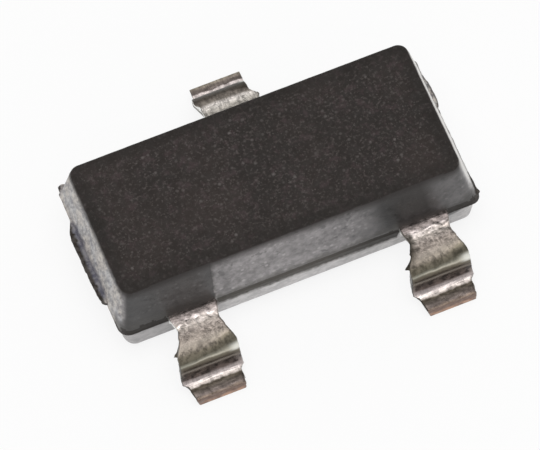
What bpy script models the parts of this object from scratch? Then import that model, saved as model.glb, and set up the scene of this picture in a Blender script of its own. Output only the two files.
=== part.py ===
"""Low-dropout regulator in a three-lead small-outline package.

A moulded epoxy body holds a stamped and formed lead frame. Pins 1 and 2 leave
the front, and pin 3 leaves the back and carries the die pad with the silicon
die. Three bond wires join the die to the leads. Everything is in metres, +Z is
up, the feet stand on z = 0 and the body is centred on the Z axis.
"""

from math import cos, pi, radians, sin, tan

import bmesh
import bpy
from mathutils import Vector

MM = 0.001

# Moulded body
BODY_LENGTH = 2.90 * MM            # along X at the parting line
BODY_WIDTH = 1.30 * MM             # along Y at the parting line
BODY_TOP = 0.97 * MM               # seated height
BODY_STANDOFF = 0.07 * MM          # clear height under the body
PARTING_HEIGHT = 0.40 * MM         # plane where the two mould halves meet
PARTING_CENTRE_X = 0.016 * MM      # the top is centred on the axis, the parting line is not
SIDE_DRAFT = radians(8.0)
UPPER_END_DRAFTS = (radians(6.4), radians(9.6))    # at -X and at +X
LOWER_END_DRAFTS = (radians(8.0), radians(1.5))
LOWER_END_STEP = 0.022 * MM        # how far the lower half stands past the upper one at +X
FRONT_CORNER_RADIUS = 0.09 * MM    # upright corners, in plan
BACK_CORNER_RADIUS = 0.035 * MM    # the back corners are sharper below the top
TOP_RIM_RADIUS = 0.035 * MM
BASE_RIM_RADIUS = 0.025 * MM
PARTING_RIDGE = 0.006 * MM         # how far the parting line stands proud
PARTING_RIDGE_HEIGHT = 0.020 * MM

# Broken resin left at the two ends, as (place along Y, how far it stands out)
GATE_REMNANT = (
    (0.435, 0.000), (0.368, 0.022), (0.317, 0.044), (0.247, 0.058), (0.080, 0.052), (-0.010, 0.054),
    (-0.105, 0.049), (-0.203, 0.045), (-0.281, 0.038), (-0.334, 0.029), (-0.343, 0.000),
)
VENT_FLASH = (
    (0.515, 0.000), (0.506, 0.059), (0.467, 0.061), (0.430, 0.073), (0.326, 0.082), (0.273, 0.080),
    (0.190, 0.061), (0.095, 0.063), (0.042, 0.061), (-0.090, 0.047), (-0.280, 0.045), (-0.414, 0.053),
    (-0.479, 0.061), (-0.594, 0.063), (-0.608, 0.060), (-0.625, 0.045), (-0.632, 0.025),
)
# Resin broken off at the back left corner, as (place in from the end, how far it stands out along Y)
CORNER_CHIP = (
    (0.000, -0.060), (-0.003, 0.022), (0.004, 0.057), (0.028, 0.070), (0.056, 0.066), (0.090, 0.040), (0.115, -0.020),
)
REMNANT_THICKNESS = 0.055 * MM
REMNANT_ROOT = 0.09 * MM           # how deep a remnant starts inside the body

# Lead frame strip
LEAD_THICKNESS = 0.12 * MM
LEAD_WIDTH = 0.40 * MM
LEAD_RISE = 0.04 * MM              # top of the strip above the parting plane
PIN_TO_BODY_END = 0.50 * MM        # centre of a front pin to the body's end, mean of both
LEAD_ROW_X = 0.08 * MM             # how far the frame sits off the body's centre
TOE_SPAN = 2.46 * MM               # toe to toe along Y
FOOT_LENGTH = 0.12 * MM            # flat length of a foot
BACK_TOE_TRIM = 0.018 * MM         # the back toe was cut shorter
BEND_RADIUS = 0.05 * MM            # inside radius of both bends
DROP_ANGLE = radians(82.0)         # slope of the part between the bends
STRIP_EDGE_RADIUS = 0.014 * MM

# Edges of the strip where the dam bar was sheared, as (place along the strip from the
# body's side, how far past half the width): a waist, then wings, then the foot
FRONT_EDGE = ((0.00, 0.000), (0.13, -0.028), (0.20, -0.012), (0.31, 0.026), (0.60, 0.036), (0.68, 0.004), (0.79, -0.004))
BACK_LEFT_EDGE = ((0.00, 0.000), (0.11, 0.006), (0.26, 0.090), (0.40, 0.066), (0.60, 0.052), (0.69, 0.022))
BACK_RIGHT_EDGE = ((0.00, 0.000), (0.20, 0.010), (0.25, -0.048), (0.50, -0.048), (0.62, -0.012), (0.70, -0.016))
SLOT_REACH = 0.10 * MM             # how far out the body is cut clear of the strip

# Parts of the lead frame inside the body
FINGER_WIDTH = 0.56 * MM
FINGER_LENGTH = 0.18 * MM
FINGER_TO_PAD = 0.10 * MM          # stamped gap
FINGER_NECK = 0.17 * MM            # from the finger's wide end to the body's side
PAD_WIDTH = 1.10 * MM
PAD_LENGTH = 0.62 * MM

# Die and what holds it
DIE_LENGTH = 0.70 * MM
DIE_WIDTH = 0.44 * MM
DIE_THICKNESS = 0.15 * MM
DIE_ATTACH_THICKNESS = 0.015 * MM
DIE_ATTACH_MARGIN = 0.025 * MM     # fillet of adhesive round the die

# Bond wires
WIRE_DIAMETER = 0.025 * MM
WIRE_LOOP_HEIGHT = 0.11 * MM       # above the die
WIRE_RISE_SHARE = 0.15             # share of the span covered while the wire rises
BALL_DIAMETER = 0.066 * MM
BALL_HEIGHT = 0.024 * MM
STITCH_LENGTH = 0.080 * MM
STITCH_WIDTH = 0.050 * MM
STITCH_HEIGHT = 0.014 * MM
BOND_INSET = 0.07 * MM             # from a bond to the edge of what it sits on

# Gap kept between neighbouring pieces, which touch on the real part
SEAT_GAP = 0.003 * MM

# Fineness of the facets
CORNER_STEPS = 5
RIM_STEPS = 3
STRIP_EDGE_STEPS = 2
STRAIGHT_STEPS = 4
BEND_STEPS = 8
WIRE_POINTS = 15
WIRE_BEVEL_STEPS = 2
BALL_SEGMENTS = 12
BALL_RINGS = 8
SHARP_ANGLE = radians(32.0)

# Distances under which two heights or two points count as one
SAME_HEIGHT = 0.0003 * MM
SAME_POINT = 0.00001 * MM

COLLECTION_NAME = "low_dropout_regulator"
CUTTER_COLLECTION_NAME = "cutters"

PIN_SPACING = BODY_LENGTH - 2 * PIN_TO_BODY_END
LEAD_TOP = PARTING_HEIGHT + LEAD_RISE
BODY_SIDE = BODY_WIDTH / 2
FINGER_TIP = BODY_SIDE - FINGER_NECK - FINGER_LENGTH
PAD_FRONT = -(FINGER_TIP - FINGER_TO_PAD)
PAD_BACK = PAD_FRONT + PAD_LENGTH
DIE_CENTRE = Vector((LEAD_ROW_X, (PAD_FRONT + PAD_BACK) / 2, 0))
DIE_ATTACH_BASE = LEAD_TOP + SEAT_GAP
DIE_BASE = DIE_ATTACH_BASE + DIE_ATTACH_THICKNESS + SEAT_GAP
DIE_TOP = DIE_BASE + DIE_THICKNESS


def clear_scene():
    """Start from an empty file."""
    for item in list(bpy.data.objects):
        bpy.data.objects.remove(item, do_unlink=True)


def make_collection(name):
    """A collection linked to the scene, new or reused."""
    collection = bpy.data.collections.get(name) or bpy.data.collections.new(name)
    if collection.name not in bpy.context.scene.collection.children:
        bpy.context.scene.collection.children.link(collection)
    return collection


def make_material(name, colour, roughness, metallic=0.0):
    """A plain Principled material."""
    material = bpy.data.materials.new(name)
    material.use_nodes = True
    shader = material.node_tree.nodes["Principled BSDF"]
    shader.inputs["Base Color"].default_value = (*colour, 1.0)
    shader.inputs["Roughness"].default_value = roughness
    shader.inputs["Metallic"].default_value = metallic
    material.diffuse_color = (*colour, 1.0)
    return material


def add_object(name, mesh, collection, material=None):
    """Put a mesh into a collection as a named object."""
    item = bpy.data.objects.new(name, mesh)
    collection.objects.link(item)
    if material is not None:
        mesh.materials.append(material)
    return item


def mesh_from_bmesh(name, shape):
    """Write a bmesh to a mesh with its faces pointing out."""
    bmesh.ops.recalc_face_normals(shape, faces=shape.faces[:])
    mesh = bpy.data.meshes.new(name)
    shape.to_mesh(mesh)
    shape.free()
    return mesh


def loft(name, rings):
    """A closed solid through rings of points, all with the same count."""
    shape = bmesh.new()
    rows = [[shape.verts.new(point) for point in ring] for ring in rings]
    count = len(rows[0])
    for lower, upper in zip(rows, rows[1:]):
        for index in range(count):
            following = (index + 1) % count
            shape.faces.new((lower[index], lower[following], upper[following], upper[index]))
    shape.faces.new(rows[0])
    shape.faces.new(rows[-1])
    return mesh_from_bmesh(name, shape)


def apply_modifiers(item):
    """Replace an object's mesh by its evaluated one."""
    depsgraph = bpy.context.evaluated_depsgraph_get()
    mesh = bpy.data.meshes.new_from_object(item.evaluated_get(depsgraph))
    item.modifiers.clear()
    item.data = mesh


def add_boolean(item, other, operation):
    """An exact Boolean with another object, which becomes a wire cutter."""
    step = item.modifiers.new(f"{operation.lower()}_{other.name}", "BOOLEAN")
    step.operation = operation
    step.object = other
    step.solver = "EXACT"
    other.hide_render = True
    other.display_type = "WIRE"


def curve_to_mesh(item, collection):
    """Turn a curve object into a mesh object with welded caps."""
    depsgraph = bpy.context.evaluated_depsgraph_get()
    mesh = bpy.data.meshes.new_from_object(item.evaluated_get(depsgraph))
    shape = bmesh.new()
    shape.from_mesh(mesh)
    bmesh.ops.remove_doubles(shape, verts=shape.verts[:], dist=SAME_POINT)
    bmesh.ops.recalc_face_normals(shape, faces=shape.faces[:])
    shape.to_mesh(mesh)
    shape.free()
    name = item.name
    placed = item.matrix_world.copy()
    bpy.data.objects.remove(item, do_unlink=True)
    solid = add_object(name, mesh, collection)
    solid.matrix_world = placed
    return solid


def rounded_rectangle(half_x, half_y, radii, height, steps):
    """A ring of points round a rectangle; radii go round from the +X +Y corner."""
    ring = []
    corners = ((1, 1), (-1, 1), (-1, -1), (1, -1))
    for corner, ((sign_x, sign_y), radius) in enumerate(zip(corners, radii)):
        centre_x = sign_x * (half_x - radius)
        centre_y = sign_y * (half_y - radius)
        for step in range(steps + 1):
            angle = (corner + step / steps) * pi / 2
            ring.append(Vector((centre_x + radius * cos(angle), centre_y + radius * sin(angle), height)))
    return ring


def body_ring(height, left, right, sides, back_radius):
    """The body's outline at a height, drawn in from its size at the parting line."""
    radii = (back_radius, back_radius, FRONT_CORNER_RADIUS, FRONT_CORNER_RADIUS)
    half_length = (BODY_LENGTH - left - right) / 2
    ring = rounded_rectangle(half_length, BODY_WIDTH / 2 - sides, radii, height, CORNER_STEPS)
    centre = Vector((PARTING_CENTRE_X + (left - right) / 2, 0, 0))
    return [point + centre for point in ring]


def upper_ring(above, back_radius):
    """The upper half's outline at a height above the parting line."""
    left, right = (above * tan(draft) for draft in UPPER_END_DRAFTS)
    return body_ring(PARTING_HEIGHT + above, left, right, above * tan(SIDE_DRAFT), back_radius)


def lower_ring(below, back_radius):
    """The lower half's outline at a depth below the parting line."""
    left, right = (below * tan(draft) for draft in LOWER_END_DRAFTS)
    return body_ring(PARTING_HEIGHT - below, left, right - LOWER_END_STEP, below * tan(SIDE_DRAFT), back_radius)


def end_remnant(stations, end):
    """Plan outline of the broken resin on one end wall, +1 for +X."""
    wall = BODY_LENGTH / 2
    outline = [(end * (wall + out * MM), along * MM) for along, out in stations]
    root = end * (wall - REMNANT_ROOT)
    return [(root, outline[0][1])] + outline + [(root, outline[-1][1])]


def corner_remnant():
    """Plan outline of the resin broken off at the back left corner."""
    end = PARTING_CENTRE_X - BODY_LENGTH / 2
    outline = [(end + inward * MM, BODY_SIDE + out * MM) for inward, out in CORNER_CHIP]
    return [(end + REMNANT_ROOT, BODY_SIDE - REMNANT_ROOT)] + outline


def flat_plate(name, outline, cutters):
    """A thin plate of resin on the parting plane, with a plan outline."""
    curve = bpy.data.curves.new(name, "CURVE")
    curve.dimensions = "2D"
    curve.fill_mode = "BOTH"
    curve.extrude = REMNANT_THICKNESS / 2
    spline = curve.splines.new("POLY")
    spline.points.add(len(outline) - 1)
    for point, (place_x, place_y) in zip(spline.points, outline):
        point.co = (place_x, place_y, 0, 1)
    spline.use_cyclic_u = True
    item = bpy.data.objects.new(name, curve)
    cutters.objects.link(item)
    item.location.z = PARTING_HEIGHT
    bpy.context.view_layer.update()
    return curve_to_mesh(item, cutters)


def build_body(parts, cutters, material):
    """The moulded block: two drafted halves, a parting ridge and the broken resin."""
    ridge = PARTING_RIDGE_HEIGHT / 2
    rings = [
        lower_ring(PARTING_HEIGHT - BODY_STANDOFF, FRONT_CORNER_RADIUS),
        lower_ring(ridge, BACK_CORNER_RADIUS),
        body_ring(PARTING_HEIGHT, -PARTING_RIDGE, -LOWER_END_STEP - PARTING_RIDGE, -PARTING_RIDGE, BACK_CORNER_RADIUS),
        upper_ring(ridge, BACK_CORNER_RADIUS),
        upper_ring(BODY_TOP - PARTING_HEIGHT, FRONT_CORNER_RADIUS),
    ]
    body = add_object("mould_body", loft("mould_body", rings), parts)
    bevel_top_and_base(body)
    outlines = {
        "gate_remnant": end_remnant(GATE_REMNANT, -1),
        "vent_flash": end_remnant(VENT_FLASH, 1),
        "corner_chip": corner_remnant(),
    }
    for name, outline in outlines.items():
        add_boolean(body, flat_plate(name, outline, cutters), "UNION")
    apply_modifiers(body)
    body.data.materials.clear()
    body.data.materials.append(material)
    return body


def bevel_top_and_base(body):
    """Round the rims of the top and the base by their own radii."""
    shape = bmesh.new()
    shape.from_mesh(body.data)
    for height, radius in ((BODY_TOP, TOP_RIM_RADIUS), (BODY_STANDOFF, BASE_RIM_RADIUS)):
        rim = [edge for edge in shape.edges
               if all(abs(vertex.co.z - height) < SAME_HEIGHT for vertex in edge.verts)]
        bmesh.ops.bevel(shape, geom=rim, offset=radius, segments=RIM_STEPS, profile=0.5, affect="EDGES")
    bmesh.ops.recalc_face_normals(shape, faces=shape.faces[:])
    shape.to_mesh(body.data)
    shape.free()


def smooth_step(low, high, value):
    """0 below low, 1 above high, and smooth between."""
    share = min(max((value - low) / (high - low), 0.0), 1.0)
    return share * share * (3 - 2 * share)


def edge_reach(place, edge):
    """How far one edge of the strip lies from its centre line at a place along it."""
    reach = LEAD_WIDTH / 2 + edge[0][1] * MM
    for (start, before), (end, after) in zip(edge, edge[1:]):
        reach += (after - before) * MM * smooth_step(start * MM, end * MM, place)
    return reach


def formed_strip():
    """The runs of the formed lead outside the body, as (length, turn) pairs."""
    middle_radius = BEND_RADIUS + LEAD_THICKNESS / 2
    descent = LEAD_TOP - LEAD_THICKNESS
    drop = (descent - 2 * middle_radius * (1 - cos(DROP_ANGLE))) / sin(DROP_ANGLE)
    reach = 2 * middle_radius * sin(DROP_ANGLE) + drop * cos(DROP_ANGLE)
    shoulder = TOE_SPAN / 2 - BODY_SIDE - reach - FOOT_LENGTH
    bend = middle_radius * DROP_ANGLE
    return ((shoulder, 0.0), (bend, DROP_ANGLE), (drop, 0.0), (bend, -DROP_ANGLE), (FOOT_LENGTH, 0.0))


def strip_station(place):
    """Centre point (out, height) and slope of the strip at a place along it."""
    out = BODY_SIDE
    height = LEAD_TOP - LEAD_THICKNESS / 2
    slope = 0.0
    if place <= 0:
        return out + place, height, slope
    left = place
    for length, turn in formed_strip():
        run = min(left, length)
        if turn:
            radius = length / turn
            after = slope + turn * run / length
            out += radius * (sin(after) - sin(slope))
            height -= radius * (cos(slope) - cos(after))
            slope = after
        else:
            out += run * cos(slope)
            height -= run * sin(slope)
        left -= run
        if left <= 0:
            break
    return out, height, slope


def strip_places(trim):
    """Places along the strip outside the body where the loft has a ring."""
    places = [0.0]
    start = 0.0
    for length, turn in formed_strip():
        steps = BEND_STEPS if turn else STRAIGHT_STEPS
        places += [start + length * step / steps for step in range(1, steps + 1)]
        start += length
    places[-1] -= trim
    return places


def strip_ring(place, reach, side, centre_x, grow=0.0):
    """The strip's cross-section at a place; side is -1 for the front and +1 for the back."""
    out, height, slope = strip_station(place)
    half_width = (reach[0] + reach[1]) / 2 + grow
    middle = centre_x + (reach[1] - reach[0]) / 2
    half_thickness = LEAD_THICKNESS / 2 + grow
    radii = (min(STRIP_EDGE_RADIUS, half_thickness / 2),) * 4
    ring = []
    for point in rounded_rectangle(half_width, half_thickness, radii, 0.0, STRIP_EDGE_STEPS):
        ring.append(Vector((
            middle + point.x,
            side * (out + point.y * sin(slope)),
            height + point.y * cos(slope))))
    return ring


def lead_mesh(name, side, centre_x, edges, inner_steps, outer_places, grow=0.0):
    """One lead as a loft: the flat part inside the body, then the formed strip.

    inner_steps holds (place, half width) pairs inside the body, from the inner
    end outwards, and outer_places the places of the rings outside it.
    """
    rings = []
    for place, half_width in inner_steps:
        rings.append(strip_ring(place, (half_width, half_width), side, centre_x, grow))
    for place in outer_places:
        reach = [edge_reach(place, edge) for edge in edges]
        rings.append(strip_ring(place, reach, side, centre_x, grow))
    return loft(name, rings)


def finger_steps(grow=0.0):
    """Half widths of pins 1 and 2 inside the body."""
    tip = FINGER_TIP - BODY_SIDE
    neck = -FINGER_NECK
    return ((tip - grow, FINGER_WIDTH / 2), (neck + grow, FINGER_WIDTH / 2),
            (neck + 2 * grow + SEAT_GAP, LEAD_WIDTH / 2))


def pad_steps(grow=0.0):
    """Half widths of pin 3 inside the body, from the die pad outwards."""
    front = PAD_FRONT - BODY_SIDE
    back = PAD_BACK - BODY_SIDE
    return ((front - grow, PAD_WIDTH / 2), (back + grow, PAD_WIDTH / 2),
            (back + 2 * grow + SEAT_GAP, LEAD_WIDTH / 2))


def lead_layout():
    """Name, side, centre, edges, inner outline and toe trim of each lead."""
    left = LEAD_ROW_X - PIN_SPACING / 2
    right = LEAD_ROW_X + PIN_SPACING / 2
    front_edges = (FRONT_EDGE, FRONT_EDGE)
    back_edges = (BACK_LEFT_EDGE, BACK_RIGHT_EDGE)
    return (
        ("lead_pin_1", -1, left, front_edges, finger_steps, 0.0),
        ("lead_pin_2", -1, right, front_edges, finger_steps, 0.0),
        ("lead_pin_3_with_die_pad", 1, LEAD_ROW_X, back_edges, pad_steps, BACK_TOE_TRIM),
    )


def build_leads(parts, material):
    """The three stamped and formed leads."""
    for name, side, centre_x, edges, inner, trim in lead_layout():
        mesh = lead_mesh(name, side, centre_x, edges, inner(), strip_places(trim))
        add_object(name, mesh, parts, material)


def box_mesh(name, size, base, centre, grow=0.0):
    """A block standing on a height, larger by grow on every side."""
    shape = bmesh.new()
    bmesh.ops.create_cube(shape, size=1.0)
    scale = Vector((size[0] + 2 * grow, size[1] + 2 * grow, size[2] + 2 * grow))
    bmesh.ops.scale(shape, vec=scale, verts=shape.verts[:])
    place = Vector((centre.x, centre.y, base + size[2] / 2))
    bmesh.ops.translate(shape, vec=place, verts=shape.verts[:])
    return mesh_from_bmesh(name, shape)


def die_mesh(name, grow=0.0):
    """The silicon die."""
    return box_mesh(name, (DIE_LENGTH, DIE_WIDTH, DIE_THICKNESS), DIE_BASE, DIE_CENTRE, grow)


def die_attach_mesh(name, grow=0.0):
    """The layer of adhesive under the die, with its fillet margin."""
    length = DIE_LENGTH + 2 * DIE_ATTACH_MARGIN
    width = DIE_WIDTH + 2 * DIE_ATTACH_MARGIN
    return box_mesh(name, (length, width, DIE_ATTACH_THICKNESS), DIE_ATTACH_BASE, DIE_CENTRE, grow)


def wire_layout():
    """Name, die bond and lead bond of each wire, as plan positions."""
    front = DIE_CENTRE.y - DIE_WIDTH / 2 + BOND_INSET
    back = DIE_CENTRE.y + DIE_WIDTH / 2 - BOND_INSET
    side = DIE_LENGTH / 2 - BOND_INSET
    finger_y = -(FINGER_TIP + BOND_INSET)
    finger_x = PIN_SPACING / 2 - FINGER_WIDTH / 2 + BOND_INSET
    return (
        ("bond_wire_pin_1", (LEAD_ROW_X - side, front), (LEAD_ROW_X - finger_x, finger_y)),
        ("bond_wire_pin_2", (LEAD_ROW_X + side, front), (LEAD_ROW_X + finger_x, finger_y)),
        ("bond_wire_pin_3", (LEAD_ROW_X, back), (LEAD_ROW_X, PAD_BACK + BOND_INSET)),
    )


def wire_path(die_bond, lead_bond):
    """Points of a wire that leaves its ball upright and comes down to its stitch."""
    start = Vector((*die_bond, DIE_TOP + SEAT_GAP + BALL_HEIGHT / 2))
    finish = Vector((*lead_bond, LEAD_TOP + SEAT_GAP + STITCH_HEIGHT / 2))
    peak = DIE_TOP + WIRE_LOOP_HEIGHT
    points = []
    for step in range(WIRE_POINTS):
        turn = pi * step / (WIRE_POINTS - 1)
        rising = turn < pi / 2
        foot = start if rising else finish
        span = WIRE_RISE_SHARE if rising else 1 - WIRE_RISE_SHARE
        point = start.lerp(finish, WIRE_RISE_SHARE - span * cos(turn))
        point.z = foot.z + (peak - foot.z) * sin(turn)
        points.append(point)
    return points


def ball_mesh(name, size, centre, grow=0.0):
    """A squashed ball."""
    shape = bmesh.new()
    bmesh.ops.create_uvsphere(shape, u_segments=BALL_SEGMENTS, v_segments=BALL_RINGS, radius=0.5)
    bmesh.ops.scale(shape, vec=Vector(size) + Vector((2 * grow,) * 3), verts=shape.verts[:])
    bmesh.ops.translate(shape, vec=centre, verts=shape.verts[:])
    return mesh_from_bmesh(name, shape)


def wire_solid(name, die_bond, lead_bond, collection, cutters, grow=0.0):
    """One bond wire with its ball and its stitch, as one solid."""
    points = wire_path(die_bond, lead_bond)
    curve = bpy.data.curves.new(name, "CURVE")
    curve.dimensions = "3D"
    curve.bevel_depth = WIRE_DIAMETER / 2 + grow
    curve.bevel_resolution = WIRE_BEVEL_STEPS
    curve.use_fill_caps = True
    spline = curve.splines.new("POLY")
    spline.points.add(len(points) - 1)
    for target, point in zip(spline.points, points):
        target.co = (*point, 1)
    item = bpy.data.objects.new(name, curve)
    collection.objects.link(item)
    bpy.context.view_layer.update()
    wire = curve_to_mesh(item, collection)
    ball = ball_mesh(f"{name}_ball", (BALL_DIAMETER, BALL_DIAMETER, BALL_HEIGHT), points[0], grow)
    stitch = ball_mesh(f"{name}_stitch", (STITCH_WIDTH, STITCH_LENGTH, STITCH_HEIGHT), points[-1], grow)
    for end in (ball, stitch):
        add_boolean(wire, add_object(end.name, end, cutters), "UNION")
    apply_modifiers(wire)
    return wire


def build_wires(parts, cutters, material):
    """The three bond wires."""
    for name, die_bond, lead_bond in wire_layout():
        wire = wire_solid(name, die_bond, lead_bond, parts, cutters)
        wire.data.materials.clear()
        wire.data.materials.append(material)


def cut_cavity(body, cutters):
    """Cut the body clear of everything moulded into it, and open to the air round the leads."""
    outer_places = [SLOT_REACH * step / STRAIGHT_STEPS for step in range(STRAIGHT_STEPS + 1)]
    for name, side, centre_x, edges, inner, _trim in lead_layout():
        mesh = lead_mesh(f"slot_{name}", side, centre_x, edges, inner(SEAT_GAP), outer_places, SEAT_GAP)
        add_boolean(body, add_object(mesh.name, mesh, cutters), "DIFFERENCE")
    for mesh in (die_attach_mesh("space_die_attach", SEAT_GAP), die_mesh("space_die", SEAT_GAP)):
        add_boolean(body, add_object(mesh.name, mesh, cutters), "DIFFERENCE")
    for name, die_bond, lead_bond in wire_layout():
        space = wire_solid(f"space_{name}", die_bond, lead_bond, cutters, cutters, SEAT_GAP)
        add_boolean(body, space, "DIFFERENCE")


def shade(parts):
    """Smooth the rounded faces and keep the real edges sharp."""
    for item in parts.objects:
        item.data.shade_smooth()
        item.data.set_sharp_from_angle(angle=SHARP_ANGLE)


def main():
    clear_scene()
    parts = make_collection(COLLECTION_NAME)
    cutters = make_collection(CUTTER_COLLECTION_NAME)
    epoxy = make_material("black_moulding_compound", (0.045, 0.041, 0.038), 0.55)
    tinned_copper = make_material("tinned_copper", (0.62, 0.60, 0.56), 0.35, 1.0)
    silicon = make_material("silicon", (0.30, 0.32, 0.36), 0.25, 0.6)
    adhesive = make_material("silver_filled_adhesive", (0.60, 0.59, 0.56), 0.5, 0.3)
    gold = make_material("gold_wire", (0.90, 0.66, 0.28), 0.25, 1.0)
    body = build_body(parts, cutters, epoxy)
    build_leads(parts, tinned_copper)
    add_object("die_attach", die_attach_mesh("die_attach"), parts, adhesive)
    add_object("silicon_die", die_mesh("silicon_die"), parts, silicon)
    build_wires(parts, cutters, gold)
    cut_cavity(body, cutters)
    apply_modifiers(body)
    shade(parts)


if __name__ == "__main__":
    main()
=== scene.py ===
"""Low-dropout regulator in a three-lead small-outline package, dressed over its solids."""

from math import cos, pi, radians, sin, sqrt, tan

import bpy
from mathutils import Matrix, Vector, noise


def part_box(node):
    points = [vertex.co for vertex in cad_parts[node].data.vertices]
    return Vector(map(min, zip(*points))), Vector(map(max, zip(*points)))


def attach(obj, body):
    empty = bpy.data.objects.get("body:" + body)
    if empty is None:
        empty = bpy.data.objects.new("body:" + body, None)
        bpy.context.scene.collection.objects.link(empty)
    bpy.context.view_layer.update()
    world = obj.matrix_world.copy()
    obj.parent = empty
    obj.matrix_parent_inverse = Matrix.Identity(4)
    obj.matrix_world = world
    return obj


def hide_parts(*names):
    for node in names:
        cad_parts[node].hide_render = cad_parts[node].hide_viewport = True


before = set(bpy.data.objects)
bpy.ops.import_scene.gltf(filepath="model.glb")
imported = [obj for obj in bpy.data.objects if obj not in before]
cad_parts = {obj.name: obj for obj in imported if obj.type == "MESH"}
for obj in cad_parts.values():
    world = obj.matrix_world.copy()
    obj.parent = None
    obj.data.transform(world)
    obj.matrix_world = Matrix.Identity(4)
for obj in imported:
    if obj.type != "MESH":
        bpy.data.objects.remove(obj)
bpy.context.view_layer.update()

bl_info = {
    "name": "Low-dropout regulator",
    "version": (1, 0, 0),
    "blender": (4, 5, 0),
    "location": "View3D > Sidebar > Regulator",
    "description": "Builds a moulded three-lead regulator with formed leads, its inside and a plain stage",
    "category": "Object",
}

MM = 0.001
COLLECTION_NAME = "low_dropout_regulator"

# Fineness of the moulded body's mesh
BODY_LONG_STEPS = 176
BODY_SHORT_STEPS = 104
HALF_CORNER_STEPS = 6
RIM_STEPS = 6
LOWER_WALL_STEPS = 20
UPPER_WALL_STEPS = 32
BODY_SHARP_ANGLE = radians(38.0)

# Fineness of a lead's mesh
STRIP_WIDTH_STEPS = 34
STRIP_THICKNESS_STEPS = 12
STRIP_CORNER_STEPS = 2
STRIP_STEP = 0.0065
STRIP_SHARP_ANGLE = radians(50.0)

# Broken resin on the parting plane, in millimetres, as (place along the wall, how far it stands out)
GATE_REMNANT = (
    (0.435, -0.012), (0.368, 0.014), (0.317, 0.036), (0.247, 0.050), (0.080, 0.045), (-0.010, 0.047),
    (-0.105, 0.044), (-0.203, 0.040), (-0.281, 0.034), (-0.334, 0.024), (-0.343, -0.005),
)
VENT_FLASH = (
    (0.515, 0.030), (0.506, 0.063), (0.467, 0.067), (0.430, 0.078), (0.326, 0.084), (0.270, 0.085),
    (0.215, 0.076), (0.170, 0.048), (0.120, 0.061), (0.042, 0.061), (-0.090, 0.056), (-0.220, 0.053),
    (-0.300, 0.057), (-0.414, 0.063), (-0.479, 0.067), (-0.548, 0.071), (-0.578, 0.082), (-0.592, 0.062),
    (-0.604, 0.046), (-0.614, 0.050), (-0.624, 0.034), (-0.636, 0.012),
)
CORNER_CHIP = (
    (-1.434, -0.060), (-1.431, 0.057), (-1.406, 0.070), (-1.378, 0.066), (-1.344, 0.040), (-1.319, -0.020),
)

# The break on the right, back and left side of the body, as (line, raggedness, axis, direction)
RESIN_BREAKS = {
    1: (VENT_FLASH[::-1], 0.004, 0, 1),
    2: (CORNER_CHIP, 0.006, 1, 1),
    3: (GATE_REMNANT[::-1], 0.005, 0, -1),
}

# Break of the resin between pins 1 and 2, about the parting line: its drop at each pin, its margin below
# that, and its rise
BREAK_DROPS = (0.052, 0.106)
BREAK_MARGIN = 0.030
BREAK_RISE = 0.040

# Edges of the strip where the dam bar was sheared, in millimetres, as (place along it, past half width)
FRONT_LEFT_EDGE = (
    (0.00, 0.000), (0.13, -0.026), (0.20, -0.004), (0.31, 0.056), (0.60, 0.064), (0.68, 0.026),
    (0.79, 0.010),
)
FRONT_RIGHT_EDGE = (
    (0.00, 0.000), (0.13, -0.028), (0.20, -0.012), (0.31, 0.030), (0.60, 0.040), (0.68, 0.006),
    (0.79, -0.002),
)
BACK_LEFT_EDGE = (
    (0.00, 0.000), (0.11, 0.006), (0.155, 0.062), (0.235, 0.066), (0.264, 0.098), (0.40, 0.076),
    (0.60, 0.062), (0.69, 0.036),
)
BACK_RIGHT_EDGE = (
    (0.00, 0.000), (0.20, -0.004), (0.25, -0.048), (0.50, -0.048), (0.62, -0.010), (0.70, -0.008),
)
BACK_TOE_TRIM = 0.018

# Name, CAD node, side of the body, and left edge, right edge and toe trim of each lead
LEADS = (
    ("pin_1_lead", "lead_pin_1", -1, (FRONT_LEFT_EDGE, FRONT_RIGHT_EDGE, 0.0)),
    ("pin_2_lead", "lead_pin_2", -1, (FRONT_LEFT_EDGE, FRONT_RIGHT_EDGE, 0.0)),
    ("pin_3_lead_and_pad", "lead_pin_3_with_die_pad", 1, (BACK_LEFT_EDGE, BACK_RIGHT_EDGE, BACK_TOE_TRIM)),
)

# Inside the body: length of the pad, depth of a finger's neck, and the run in which a width changes
PAD_LENGTH = 0.62
FINGER_NECK = 0.17
WIDTH_CHANGE = 0.003

# Darkness of the left and right side of each strip, as (place in millimetres, 0 pale to 1 dark)
SIDE_TONES = {
    "pin_1_lead": (((0.0, 0.0), (0.22, 0.1), (0.32, 1.0), (0.9, 0.9)), ((0.0, 0.4), (0.9, 0.8))),
    "pin_2_lead": (
        ((0.0, 0.2), (0.05, 1.1), (0.22, 1.1), (0.35, 0.9), (0.9, 0.9)),
        ((0.0, 0.4), (0.9, 0.8))),
    "pin_3_lead_and_pad": (
        ((0.0, 0.0), (0.196, 0.0), (0.204, 1.1), (0.218, 1.1), (0.226, 0.0), (0.290, 0.0), (0.320, 0.9),
         (0.9, 0.9)),
        ((0.0, 0.4), (0.9, 0.7))),
}

# How far the shear draws in the lower edge of a strip's left side, in millimetres, in front and at the back
FRONT_LEAN = 0.026
BACK_LEAN = 0.060

# Darker left edge of a strip's top, as (start, end, inner edge as a share of the half width)
EDGE_SHADES = {"pin_2_lead": (0.040, 0.300, -0.60)}

# Darkness of a strip's underside, its burrs, painted shade on its left side below the upper bend, and a
# darker top edge
UNDERSIDE_TONE = 0.35
BURR_TONE = 1.15
LEFT_SIDE_SHADE_TONE = 1.80
EDGE_DARK_TONE = 1.75
LOWER_LEFT_BAND = 0.06

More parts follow.
